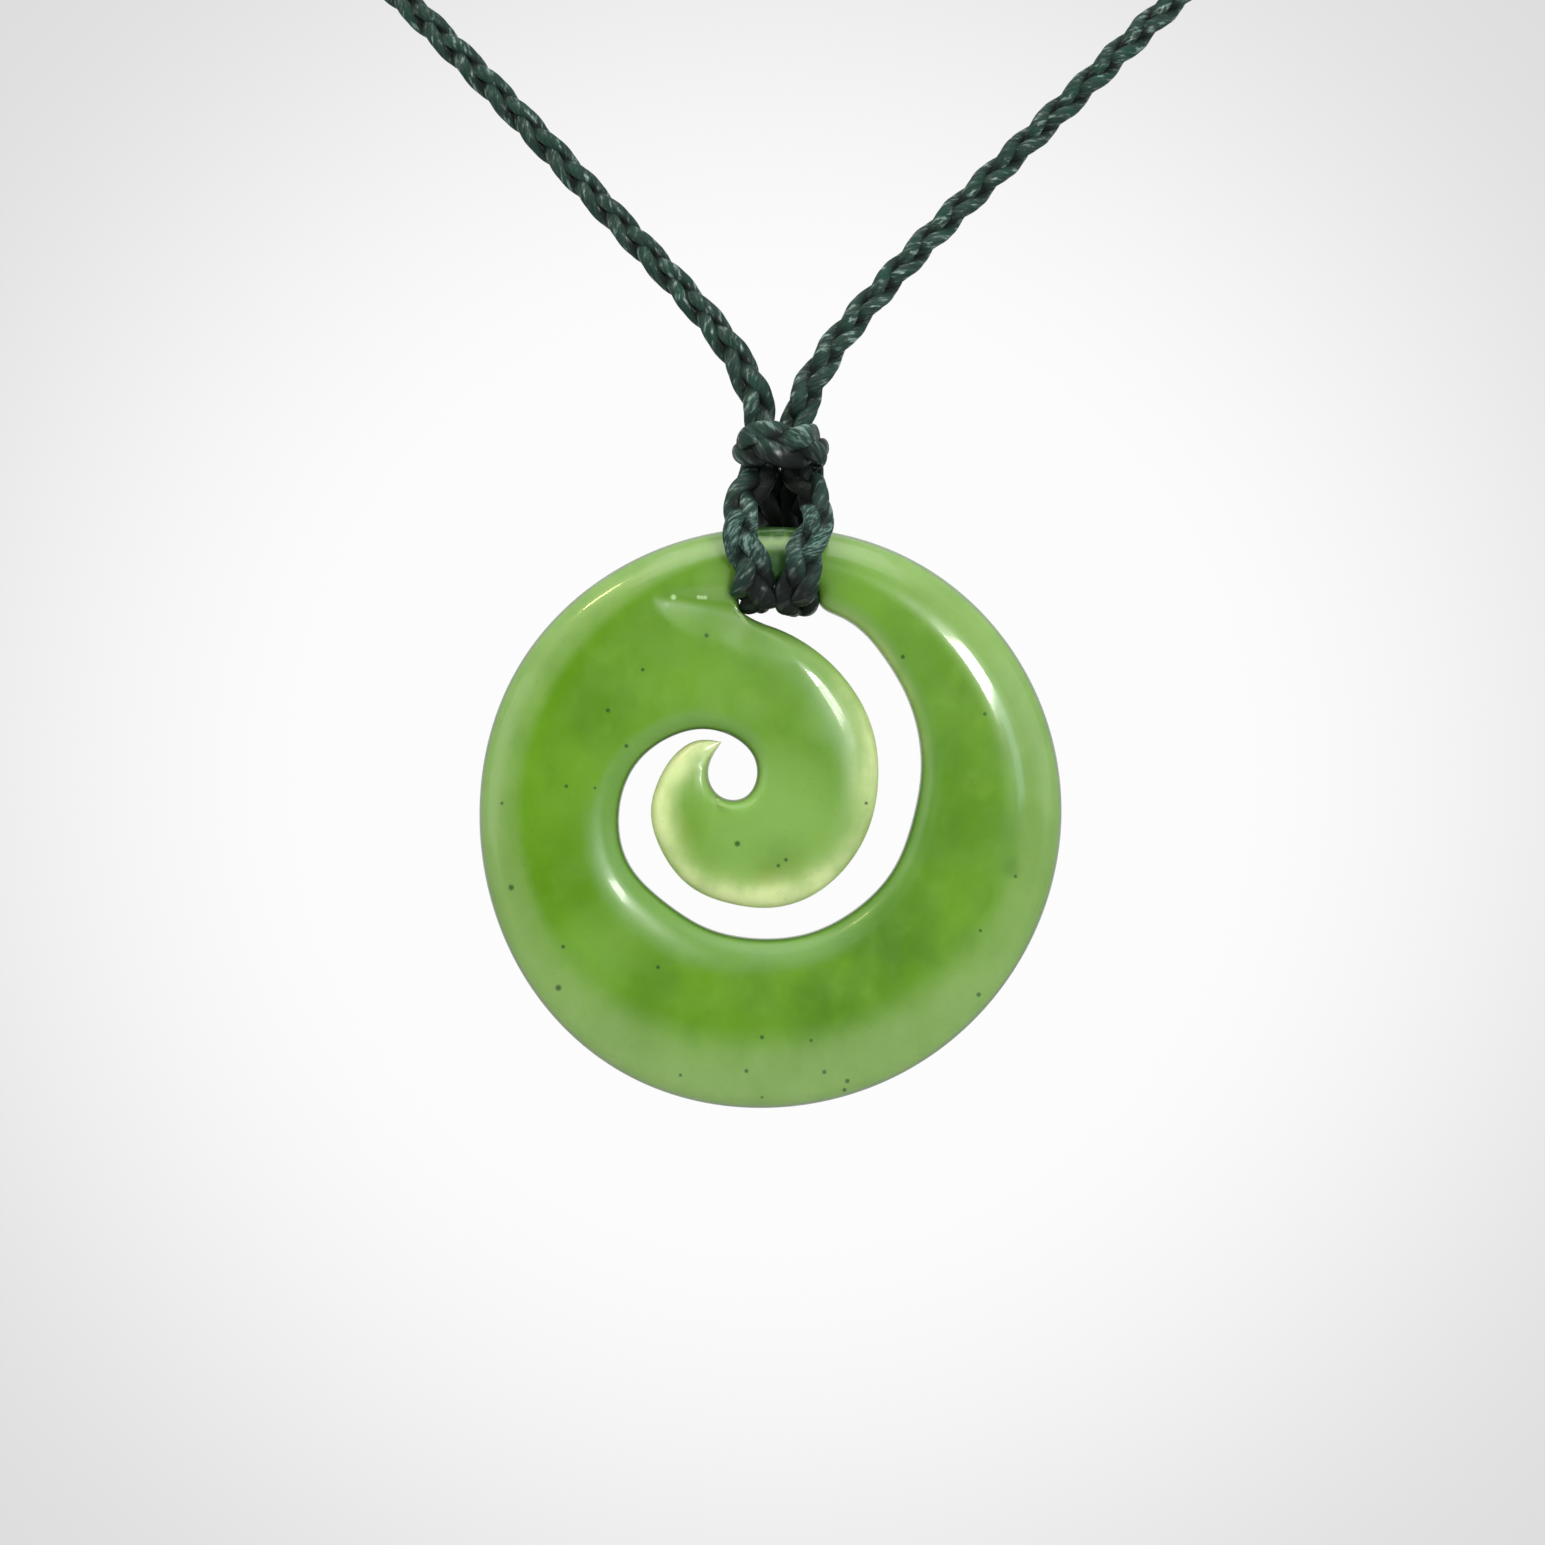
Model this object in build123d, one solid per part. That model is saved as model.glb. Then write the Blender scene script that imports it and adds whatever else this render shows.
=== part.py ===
from build123d import *
import math
import os

# Koru pendant: a green stone disc carved as an unrolling fern frond, hung on a three-strand plait.
# Millimetres. The row's front looks along -Y and +Z is up. The origin is where the join sits on
# the nape. The tables below are laid out around the middle of the stone.

# Stone
STONE_RADIUS = 22.0
STONE_THICKNESS = 6.0
RIM_BEVEL = 3.2          # width of the sloping band beside the rim, at the right-hand side
RIM_DEPTH = 3.6          # front-to-back depth of the rim, outside the two bevels
RIM_ROUNDING = 1.1
SLOT_EDGE_WIDTH = 1.1    # how far the slot's softened edge reaches over the face
SLOT_EDGE_DEPTH = 1.3    # and how deep it goes down the slot's wall
CREASE_LENGTH = 6.6      # carved crease that runs on from the slot's start and fades out
CREASE_RISE = 9.0        # degrees above level, going left
CREASE_DEPTH = 0.7       # at the slot's start
CREASE_UPPER = 0.5       # width of its steep upper side there
CREASE_LOWER = 2.4       # width of its gentle lower side there
CREASE_FADE = 0.06       # the share of its section that is left where it ends
CREASE_OVERRUN = 1.2     # its cutter is this many times as tall as the crease is deep
TIP_THICKNESS = 3.8      # thickness of the arm at its point
TIP_TAPER = 6.5          # length over which the arm thins to its point

# Plait
STRANDS = 3
STRAND_DIAMETER = 0.66
STRAND_GAP = 0.08        # clearance between two strands where they cross
PLAIT_PITCH = 11.0       # length in which a strand swings left, right and back
SWING = 1.027            # sideways travel of a strand, as a share of the strands' spacing
WEAVE = 0.838            # its front-to-back travel, twice in each swing, as a share too
CORD_GAP = 0.15          # clearance between the plait and the stone or the join
STRAND_SIDES = 6
STATIONS_PER_PITCH = 8
HITCH_STATIONS_PER_PITCH = 16

# Neck loop, measured along the middle of the plait
LOOP_HALF_WIDTH = 61.5
LOOP_DEPTH = 129.0       # from the stone's middle plane back to the nape
LOOP_RISE = 98.4         # from the top of the knot up to the nape
KNOT_RISE = 1.346        # top of the knot above the stone's middle, share of the stone's radius
KNOT_SIDE = 1.0          # the knot's middle lies this far to the right of the stone's

# Join at the nape
JOIN_DIAMETER = 6.0
JOIN_LENGTH = 11.0
JOIN_ROUNDING = 1.2
SOCKET_DEPTH = 3.0       # how far each end of the plait goes into the join

# Worked out from the sizes above
STRAND_RADIUS = STRAND_DIAMETER / 2
STRAND_SPACING = STRAND_DIAMETER + STRAND_GAP
PLAIT_SWING = SWING * STRAND_SPACING
PLAIT_WEAVE = WEAVE * STRAND_SPACING
PLAIT_HALF_WIDTH = PLAIT_SWING + STRAND_RADIUS
PLAIT_HALF_DEPTH = PLAIT_WEAVE + STRAND_RADIUS
LEG_OFFSET = STONE_THICKNESS / 2 + CORD_GAP + PLAIT_HALF_DEPTH
KNOT_TOP = KNOT_RISE * STONE_RADIUS

# Where the stone's middle lies from the nape
STONE_PLACE = Vector(
    -KNOT_SIDE,
    -LOOP_DEPTH + JOIN_DIAMETER / 2,
    -LOOP_RISE - KNOT_TOP,
)

FRONT = Vector(0, -1, 0)
BACK = Vector(0, 1, 0)
DOWN = Vector(0, 0, -1)
LEFT = Vector(-1, 0, 0)
RIGHT = Vector(1, 0, 0)

# The rim, each 30 degrees from the right-hand side and over the top. Columns: radius (share of
# the stone's radius), bevel (share of the bevel's width).
RIM = (
    (1.001, 1.00),
    (1.008, 0.92),
    (1.006, 0.75),
    (0.992, 0.56),
    (0.995, 0.79),
    (1.003, 0.94),
    (0.995, 0.96),
    (1.004, 1.10),
    (1.014, 1.38),
    (1.000, 1.56),
    (0.991, 1.50),
    (0.991, 1.24),
)

# Ring side of the slot from its start, over the top, down the right and round to the eye, then
# to the arm's point. Columns: across, up (shares of the stone's radius), edge (share of the
# softened edge's width).
RING_WALL = (
    (-0.108, 0.706, 0.0),
    (-0.113, 0.738, 0.5),
    (-0.105, 0.775, 0.8),
    (-0.070, 0.792, 1.0),
    (0.020, 0.795, 1.0),
    (0.110, 0.794, 1.0),
    (0.155, 0.779, 1.0),
    (0.169, 0.733, 1.0),
    (0.242, 0.684, 1.0),
    (0.386, 0.554, 1.0),
    (0.477, 0.395, 1.0),
    (0.519, 0.148, 1.1),
    (0.490, -0.016, 1.2),
    (0.425, -0.181, 1.5),
    (0.290, -0.323, 1.9),
    (0.125, -0.404, 2.1),
    (-0.040, -0.420, 2.3),
    (-0.205, -0.388, 2.4),
    (-0.359, -0.295, 2.4),
    (-0.488, -0.154, 2.0),
    (-0.517, 0.011, 1.5),
    (-0.460, 0.176, 1.2),
    (-0.340, 0.272, 1.1),
    (-0.225, 0.299, 1.1),
    (-0.125, 0.272, 1.0),
    (-0.058, 0.210, 1.0),
    (-0.043, 0.145, 0.9),
    (-0.085, 0.066, 0.8),
    (-0.167, 0.067, 0.6),
    (-0.211, 0.148, 0.4),
    (-0.192, 0.213, 0.2),
    (-0.164, 0.255, 0.0),
)

# Arm side of the slot, back from the arm's point to the slot's start. The same columns.
ARM_WALL = (
    (-0.164, 0.255, 0.0),
    (-0.246, 0.260, 0.3),
    (-0.328, 0.208, 0.6),
    (-0.382, 0.120, 0.9),
    (-0.406, 0.030, 1.0),
    (-0.369, -0.120, 1.1),
    (-0.265, -0.245, 1.2),
    (-0.120, -0.302, 1.3),
    (0.005, -0.313, 1.4),
    (0.125, -0.282, 1.6),
    (0.242, -0.196, 1.8),
    (0.340, -0.040, 2.0),
    (0.372, 0.124, 2.2),
    (0.355, 0.289, 2.5),
    (0.275, 0.450, 2.4),
    (0.142, 0.580, 1.2),
    (0.020, 0.645, 0.7),
    (-0.060, 0.677, 0.4),
    (-0.108, 0.706, 0.0),
)

# Outline that holds the arm's last stretch, in the slot all round it. It starts at the eye, and
# its first and last points are where the arm begins to thin. Columns: across, up (shares of the
# stone's radius).
TIP_OUTLINE = (
    (-0.150, 0.100),
    (-0.130, 0.180),
    (-0.130, 0.262),
    (-0.240, 0.282),
    (-0.345, 0.245),
    (-0.420, 0.150),
    (-0.450, 0.040),
)

# Profile of the slot's softened edge. Columns: depth under the face, reach over the face.
EDGE_PROFILE = (
    (0.0, 1.0),
    (0.3, 0.42),
    (1.0, 0.0),
)

# Half of the neck loop from the join to the top of the knot. Columns: left and right (shares of
# the half width), back (share of the depth), up (share of the rise), the side that the plait's
# broad face turns to (None for away from the neck), spread of the plait, size of the plait.
LOOP = (
    (0.228, 0.228, 0.992, 0.993, BACK, 1.0, 1.0),
    (0.423, 0.423, 0.964, 0.976, BACK, 1.0, 1.0),
    (0.715, 0.715, 0.868, 0.929, BACK, 1.0, 1.0),
    (0.927, 0.927, 0.713, 0.853, None, 1.0, 1.0),
    (1.000, 1.000, 0.527, 0.751, None, 1.0, 1.0),
    (0.927, 0.940, 0.341, 0.619, None, 1.0, 1.0),
    (0.715, 0.735, 0.209, 0.482, FRONT, 1.0, 1.0),
    (0.475, 0.492, 0.109, 0.339, FRONT, 1.0, 1.0),
    (0.324, 0.333, 0.072, 0.241, FRONT, 1.0, 1.0),
    (0.183, 0.180, 0.039, 0.145, FRONT, 1.0, 1.0),
    (0.113, 0.110, 0.022, 0.097, FRONT, 1.0, 1.0),
    (0.056, 0.052, 0.008, 0.050, FRONT, 1.0, 1.0),
    (0.037, 0.031, 0.002, 0.026, FRONT, 1.0, 1.0),
)

# The hitch from the left of the knot, through the slot twice, to the right of the knot.
# Columns: across (share of the stone's radius), out (share of the leg's offset, back is plus),
# up (share of the stone's radius), the side that the broad face turns to, spread, size.
HITCH = (
    (-0.026, 0.00, 1.345, FRONT, 1.0, 0.95),
    (-0.020, -0.03, 1.275, FRONT, 1.0, 0.84),
    (-0.020, -0.13, 1.205, FRONT, 1.1, 0.86),
    (-0.045, -0.36, 1.150, FRONT, 1.25, 0.94),
    (-0.082, -0.62, 1.100, FRONT, 1.3, 1.0),
    (-0.099, -0.86, 1.040, FRONT, 1.35, 1.03),
    (-0.101, -1.01, 0.970, FRONT, 1.35, 1.06),
    (-0.077, -1.02, 0.900, FRONT, 1.35, 1.06),
    (-0.059, -1.02, 0.827, FRONT, 1.3, 1.06),
    (-0.050, -0.86, 0.763, FRONT + DOWN, 1.15, 1.0),
    (-0.047, -0.49, 0.734, DOWN, 1.05, 1.0),
    (-0.047, 0.00, 0.734, DOWN, 1.0, 1.0),
    (-0.047, 0.49, 0.734, DOWN, 1.0, 1.0),
    (-0.041, 0.86, 0.763, BACK + DOWN, 1.1, 1.0),
    (-0.030, 1.00, 0.827, BACK, 1.15, 1.0),
    (-0.020, 1.00, 0.910, BACK, 1.15, 1.0),
    (-0.016, 0.98, 0.982, BACK, 1.15, 1.0),
    (-0.018, 0.80, 1.073, BACK, 1.1, 1.0),
    (-0.036, 0.56, 1.155, BACK, 1.05, 0.92),
    (-0.070, 0.42, 1.215, BACK + LEFT, 1.1, 0.84),
    (-0.097, 0.08, 1.262, LEFT, 1.4, 0.84),
    (-0.078, -0.33, 1.275, FRONT + LEFT, 1.7, 0.9),
    (-0.025, -0.55, 1.272, FRONT, 1.75, 0.96),
    (0.038, -0.58, 1.268, FRONT, 1.75, 0.96),
    (0.101, -0.56, 1.266, FRONT, 1.75, 0.96),
    (0.155, -0.33, 1.266, FRONT + RIGHT, 1.7, 0.9),
    (0.174, 0.08, 1.252, RIGHT, 1.4, 0.84),
    (0.148, 0.42, 1.212, BACK + RIGHT, 1.1, 0.84),
    (0.112, 0.56, 1.155, BACK, 1.05, 0.92),
    (0.094, 0.80, 1.073, BACK, 1.1, 1.0),
    (0.091, 0.98, 0.982, BACK, 1.15, 1.0),
    (0.093, 1.00, 0.910, BACK, 1.15, 1.0),
    (0.099, 1.00, 0.827, BACK, 1.15, 1.0),
    (0.099, 0.86, 0.755, BACK + DOWN, 1.1, 1.0),
    (0.098, 0.49, 0.724, DOWN, 1.0, 1.0),
    (0.098, 0.00, 0.724, DOWN, 1.0, 1.0),
    (0.094, -0.49, 0.724, DOWN, 1.05, 1.0),
    (0.092, -0.86, 0.755, FRONT + DOWN, 1.15, 1.0),
    (0.105, -1.02, 0.827, FRONT, 1.3, 1.06),
    (0.124, -1.02, 0.900, FRONT, 1.35, 1.06),
    (0.150, -1.01, 0.970, FRONT, 1.35, 1.06),
    (0.164, -0.84, 1.045, FRONT, 1.35, 1.03),
    (0.144, -0.58, 1.105, FRONT, 1.3, 1.0),
    (0.112, -0.30, 1.155, FRONT, 1.2, 0.93),
    (0.094, -0.05, 1.207, FRONT, 1.1, 0.84),
    (0.090, 0.02, 1.275, FRONT, 1.0, 0.84),
    (0.093, 0.00, 1.345, FRONT, 1.0, 0.95),
)


def stone_section(bevel_width, y):
    """The stone's closed outline at one depth, with a bevel of this width taken off."""
    points = []
    for i, (radius, bevel) in enumerate(RIM):
        turn = 2 * math.pi * i / len(RIM)
        reach = radius * STONE_RADIUS - bevel * bevel_width
        points.append(Vector(reach * math.cos(turn), y, reach * math.sin(turn)))
    return Wire(Spline(*points, periodic=True))


def stone_blank():
    face = STONE_THICKNESS / 2
    rim = RIM_DEPTH / 2
    sections = [
        stone_section(RIM_BEVEL, -face),
        stone_section(0, -rim),
        stone_section(0, rim),
        stone_section(RIM_BEVEL, face),
    ]
    blank = Solid.make_loft(sections, ruled=True)
    bevel_middle = (face + rim) / 2
    outlines = [e for e in blank.edges() if e.is_closed]
    rim_edges = [e for e in outlines if abs(e.center().Y) < bevel_middle]
    return blank.fillet(RIM_ROUNDING, rim_edges)


def wall_spline(rows, reach, y):
    """One wall of the slot, pushed out into the stone by its softened edge."""
    points = [Vector(x * STONE_RADIUS, y, z * STONE_RADIUS) for x, z, _ in rows]
    moved = []
    for i, point in enumerate(points):
        before = points[max(i - 1, 0)]
        after = points[min(i + 1, len(points) - 1)]
        along = (after - before).normalized()
        outward = Vector(-along.Z, 0, along.X)
        moved.append(point + outward * (rows[i][2] * reach))
    return Spline(*moved)


def slot_section(reach, y):
    return Wire([wall_spline(RING_WALL, reach, y), wall_spline(ARM_WALL, reach, y)])


def slot_cutter():
    """The slot as a solid that flares towards both faces of the stone."""
    face = STONE_THICKNESS / 2
    levels = []
    for depth, reach in EDGE_PROFILE:
        levels.append((face - depth * SLOT_EDGE_DEPTH, reach * SLOT_EDGE_WIDTH))
    levels.insert(0, (face + SLOT_EDGE_DEPTH, levels[0][1]))
    levels += [(-y, reach) for y, reach in reversed(levels)]
    return Solid.make_loft([slot_section(reach, y) for y, reach in levels], ruled=True)


def crease_cutter(outward):
    """A tapered groove laid in the face that looks outward, deepest at the slot's start."""
    rise = math.radians(CREASE_RISE)
    run = Vector(-math.cos(rise), 0, math.sin(rise))
    upward = Vector(math.sin(rise), 0, math.cos(rise))
    across, up, _ = RING_WALL[0]
    start = Vector(across * STONE_RADIUS, 0, up * STONE_RADIUS) + outward * (STONE_THICKNESS / 2)
    sections = []
    for place, share in ((-CREASE_UPPER, 1.0), (CREASE_LENGTH, CREASE_FADE)):
        middle = start + run * place
        bottom = middle - outward * (CREASE_DEPTH * share)
        rise_by = CREASE_OVERRUN * share
        upper = bottom + (outward * CREASE_DEPTH + upward * CREASE_UPPER) * rise_by
        lower = bottom + (outward * CREASE_DEPTH - upward * CREASE_LOWER) * rise_by
        sections.append(Wire.make_polygon([bottom, upper, lower]))
    return Solid.make_loft(sections, ruled=True)


def tip_cutter(outward):
    """What the arm loses at the face that looks outward, more and more towards its point."""
    corners = [Vector(x * STONE_RADIUS, 0, z * STONE_RADIUS) for x, z in TIP_OUTLINE]
    column = Solid.extrude(Face(Wire.make_polygon(corners)), outward * STONE_THICKNESS)
    across, up, _ = ARM_WALL[0]
    tip = Vector(across * STONE_RADIUS, 0, up * STONE_RADIUS)
    run = (tip - (corners[0] + corners[-1]) / 2).normalized()
    hinge = tip - run * TIP_TAPER + outward * (STONE_THICKNESS / 2)
    beyond = tip * 2 + outward * TIP_THICKNESS - hinge
    side = run.cross(outward) * STONE_RADIUS
    outline = [hinge, beyond, beyond + outward * STONE_THICKNESS]
    wedge = Face(Wire.make_polygon([point - side / 2 for point in outline]))
    return column & Solid.extrude(wedge, side)


def koru_stone():
    stone = stone_blank() - slot_cutter()
    for outward in (FRONT, BACK):
        stone -= crease_cutter(outward)
        stone -= tip_cutter(outward)
    return Pos(*STONE_PLACE) * stone


def loop_rows(side):
    """The loop's half on one side, -1 for the left, from the join to the knot."""
    rows = []
    for left, right, back, up, facing, spread, size in LOOP:
        across = left if side < 0 else right
        place = Vector(
            KNOT_SIDE + side * across * LOOP_HALF_WIDTH,
            back * LOOP_DEPTH,
            KNOT_TOP + up * LOOP_RISE,
        )
        facing = facing or (LEFT if side < 0 else RIGHT)
        rows.append((place, facing, spread, size))
    return rows


def join_row(side):
    """Where one end of the plait stops inside the join."""
    reach = JOIN_LENGTH / 2 - SOCKET_DEPTH + CORD_GAP
    place = Vector(KNOT_SIDE + side * reach, LOOP_DEPTH, KNOT_TOP + LOOP_RISE)
    return place, BACK, 1.0, 1.0


def cord_rows():
    """All rows of the plait, left end to right end, and the hitch's first and last row."""
    hitch = []
    for across, out, up, facing, spread, size in HITCH:
        place = Vector(across * STONE_RADIUS, out * LEG_OFFSET, up * STONE_RADIUS)
        hitch.append((place, facing, spread, size))
    left = [join_row(-1)] + loop_rows(-1)
    right = [join_row(1)] + loop_rows(1)
    return left + hitch + right[::-1], len(left), len(left) + len(hitch) - 1


def row_lengths(rows):
    """Distance of each row from the first, straight from row to row."""
    lengths = [0.0]
    for before, after in zip(rows, rows[1:]):
        lengths.append(lengths[-1] + (after[0] - before[0]).length)
    return lengths


def station_lengths(lengths, first, last):
    """Where the plait gets a section: closer together in the hitch than in the loop."""
    spans = (
        (0.0, lengths[first], PLAIT_PITCH / STATIONS_PER_PITCH),
        (lengths[first], lengths[last], PLAIT_PITCH / HITCH_STATIONS_PER_PITCH),
        (lengths[last], lengths[-1], PLAIT_PITCH / STATIONS_PER_PITCH),
    )
    places = []
    for start, end, step in spans:
        count = math.ceil((end - start) / step)
        places += [start + (end - start) * i / count for i in range(count)]
    return places + [lengths[-1]]


def between(rows, lengths, place):
    """Facing, spread and size of the plait at a distance along it."""
    i = max(k for k in range(len(lengths) - 1) if lengths[k] <= place)
    share = (place - lengths[i]) / (lengths[i + 1] - lengths[i])
    before = rows[i]
    after = rows[i + 1]
    facing = before[1].normalized() * (1 - share) + after[1].normalized() * share
    spread = before[2] * (1 - share) + after[2] * share
    size = before[3] * (1 - share) + after[3] * share
    return facing, spread, size


def plait_stations():
    """Each station's plane, turn of the plait, spread and size. The plane's X is its broad way."""
    rows, first, last = cord_rows()
    lengths = row_lengths(rows)
    total = lengths[-1]
    points = [row[0] for row in rows]
    route = Edge.make_spline(points, parameters=[length / total for length in lengths])
    stations = []
    for place in station_lengths(lengths, first, last):
        share = place / total
        centre = route.position_at(share, position_mode=PositionMode.PARAMETER)
        along = route.tangent_at(share, position_mode=PositionMode.PARAMETER)
        facing, spread, size = between(rows, lengths, place)
        broad = facing.cross(along).normalized()
        turn = 2 * math.pi * place / PLAIT_PITCH
        stations.append((Plane(origin=centre, x_dir=broad, z_dir=along), turn, spread, size))
    return stations


def cord_strand(number, stations):
    """One strand of the plait, lofted through a small polygon at each station."""
    wires = []
    for plane, turn, spread, size in stations:
        swing = turn + number * 2 * math.pi / STRANDS
        x = PLAIT_SWING * spread * size * math.sin(swing)
        y = PLAIT_WEAVE * size * math.sin(2 * swing)
        corners = []
        for k in range(STRAND_SIDES):
            angle = 2 * math.pi * k / STRAND_SIDES
            corner = (
                x + STRAND_RADIUS * size * math.cos(angle),
                y + STRAND_RADIUS * size * math.sin(angle),
                0,
            )
            corners.append(plane.from_local_coords(corner))
        wires.append(Wire.make_polygon(corners))
    return Pos(*STONE_PLACE) * Solid.make_loft(wires, ruled=True)


def nape_join():
    """A plain barrel with a socket at each end. The origin is on its side towards the neck."""
    barrel = Solid.make_cylinder(
        JOIN_DIAMETER / 2,
        JOIN_LENGTH,
        Plane(origin=(-JOIN_LENGTH / 2, 0, 0), z_dir=(1, 0, 0)),
    )
    ends = [e for e in barrel.edges() if e.geom_type == GeomType.CIRCLE]
    barrel = barrel.fillet(JOIN_ROUNDING, ends)
    for side in (-1, 1):
        mouth = Plane(origin=(side * JOIN_LENGTH / 2, 0, 0), z_dir=(-side, 0, 0))
        barrel -= Solid.make_cylinder(PLAIT_HALF_WIDTH + CORD_GAP, SOCKET_DEPTH, mouth)
    return Pos(0, JOIN_DIAMETER / 2, 0) * barrel


os.makedirs("parts", exist_ok=True)
export_step(koru_stone(), "parts/koru_stone.step")
export_step(nape_join(), "parts/nape_join.step")
STATIONS = plait_stations()
for number in range(STRANDS):
    export_step(cord_strand(number, STATIONS), f"parts/cord_strand_{number + 1}.step")
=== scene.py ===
import math

import bmesh
import bpy
import numpy as np
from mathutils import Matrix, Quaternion, Vector
from mathutils.geometry import delaunay_2d_cdt
from mathutils.kdtree import KDTree


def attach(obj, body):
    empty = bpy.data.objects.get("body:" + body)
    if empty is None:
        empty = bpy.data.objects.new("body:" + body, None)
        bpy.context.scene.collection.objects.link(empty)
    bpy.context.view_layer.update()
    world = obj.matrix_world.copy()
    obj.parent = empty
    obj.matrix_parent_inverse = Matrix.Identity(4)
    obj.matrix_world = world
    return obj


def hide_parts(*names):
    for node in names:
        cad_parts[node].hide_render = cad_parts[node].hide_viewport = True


# Koru pendant on a plaited cord. Metres. Its front looks along -Y and +Z is up. The tables of
# shapes and spots are laid out around the middle of the stone, as shares of the sizes named here.

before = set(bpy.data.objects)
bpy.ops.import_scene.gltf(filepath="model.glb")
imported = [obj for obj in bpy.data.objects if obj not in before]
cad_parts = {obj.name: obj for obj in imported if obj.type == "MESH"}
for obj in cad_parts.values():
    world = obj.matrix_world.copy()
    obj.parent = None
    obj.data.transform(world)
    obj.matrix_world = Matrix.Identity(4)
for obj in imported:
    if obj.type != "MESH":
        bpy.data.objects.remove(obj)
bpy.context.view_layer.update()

MM = 0.001

# Stone
STONE_RADIUS = 22.0 * MM
STONE_THICKNESS = 6.0 * MM
RIM_BEVEL = 3.2 * MM  # width of the sloping band beside the rim
RIM_DEPTH = 3.6 * MM  # front-to-back depth of the rim between its bevels
RIM_CORNER = 1.25 * MM  # how far the rim's rounding reaches from the corner
CREST_CORNER = 0.5  # reach of the rounding between bevel and face, share of the bevel
SLOT_EDGE_WIDTH = 1.35 * MM  # how far the slot's softened edge reaches over the face
SLOT_EDGE_DEPTH = 1.3 * MM
CREASE_DEPTH = 0.4 * MM  # carved crease that runs on from the slot's start
CREASE_UPPER = 1.9 * MM  # width of its upper side
CREASE_LOWER = 3.0 * MM  # and of its lower side
CREASE_LEAST = 0.01  # least share of its depth, which keeps a width at its ends
TIP_THICKNESS = 0.70  # the arm's point, as a share of the stone's thickness
TIP_TAPER = 9.0 * MM  # over which the arm thins to its point

# Plait
STRANDS = 3
STRAND_WIDE = 0.56 * MM  # half width of a strand along the plait's broad way
STRAND_DEEP = 0.42 * MM  # and through the plait
PLAIT_SWING = 0.54 * MM  # sideways travel of a strand from the plait's middle
PLAIT_WEAVE = 0.42 * MM  # front-to-back travel, twice in each swing
PLAIT_PITCH = 11.0 * MM
STATION_STEP = 0.25 * MM
STRAND_SIDES = 20
PLIES = 3  # threads that make up a strand
PLY_PITCH = 5.0 * MM
PLY_RELIEF = 0.07  # their ridges, as a share of the strand's size
PLY_MEAN = 0.6  # mean height of a ridge, as a share of its top
FIBRE_SHIFT = 1000  # from one strand's fibres to the next one's, so that they differ

# How finely the stone is meshed
RIM_POINTS = 480  # round the rim
RIM_CORNER_RINGS = 8  # over the rim's rounding
CREST_RINGS = 9  # over the rounding between bevel and face
SLOT_EDGE_RINGS = 11  # over the slot's softened edge
RIM_WALL_RINGS = (0.0, 0.5)  # from the middle plane up to the rim's rounding
BEVEL_RINGS = (0.33, 0.67)  # from that rounding to the next one
SLOT_WALL_RINGS = (0.0, 0.35, 0.7)  # from the middle plane up to the slot's softened edge
SLOT_SPACING = 0.22 * MM  # along the slot
FACE_SPACING = 0.6 * MM  # over the face
FINE_SPACING = 0.24 * MM  # and within the fine box round the crease
FINE_BOX = (-0.44, 0.30, 0.30, 0.82)  # left, low, right, high (shares of the radius)
OUTLINE_CLEARANCE = 0.24 * MM  # from the face's points to the last rings round it
ROUTE_SPACING = 0.1 * MM  # between the places where a route is measured
WELD_DISTANCE = 0.001 * MM  # points this close become one
SAME_POINT = 1e-7  # and while triangles are laid, as a share of the radius
WHOLE_HULL = 0  # triangles are laid over the slot too, and only the face's are kept

# Bands of tone on the stone: painted sheen on the bevel and on the slot's softened edge, a painted
# highlight line, and paleness where light comes through
RIM_SOFTNESS = 2.6 * MM  # over which the rim's band fades into the face
RIM_FALL = 0.3  # share that it loses on its way in
CRISP_FALL = 0.6  # and along the rim's rounding, where the band is crisp
RIDGE_WIDTH = 0.35 * MM  # painted highlight line where the bevel meets the rim's rounding
RIDGE_STRENGTH = 0.2
SLOT_SOFTNESS = 0.7 * MM  # over which the slot's band fades
OUTLINE_WIDTH = 0.22 * MM  # dark line along the rim and the slot
ARM_OUTLINE = 0.4  # how strong it is on the arm's side
PALE_REACH = 1.95 * MM  # how far the arm's paleness goes in from its edge
RING_PALE_REACH = 0.7 * MM  # and the ring's

# Neck loop and join
LOOP_HALF_WIDTH = 61.5 * MM
LOOP_DEPTH = 129.0 * MM  # from the stone's middle plane back to the nape
LOOP_RISE = 98.4 * MM  # from the top of the knot up to the nape
LEG_OFFSET = 4.1 * MM  # from the stone's middle plane to a leg of the hitch
JOIN_DIAMETER = 6.0 * MM
JOIN_LENGTH = 11.0 * MM
JOIN_ROUNDING = 1.2 * MM
SOCKET_DEPTH = 3.0 * MM
SOCKET_RADIUS = 1.25 * MM
WINDING = 0.8 * MM  # from one turn of the join's thread to the next
WINDING_RELIEF = 0.16 * MM
JOIN_SIDES = 72
JOIN_ROUNDING_RINGS = 8
JOIN_SPACING = 0.1 * MM  # between the rings of its winding
KNOT_SIDE = 1.0 * MM  # the knot's middle lies this far to the right of the stone's
KNOT_TOP = 1.346 * STONE_RADIUS  # its top over the stone's middle

STONE_PLACE = Vector((-KNOT_SIDE, JOIN_DIAMETER / 2 - LOOP_DEPTH, -LOOP_RISE - KNOT_TOP))

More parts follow.
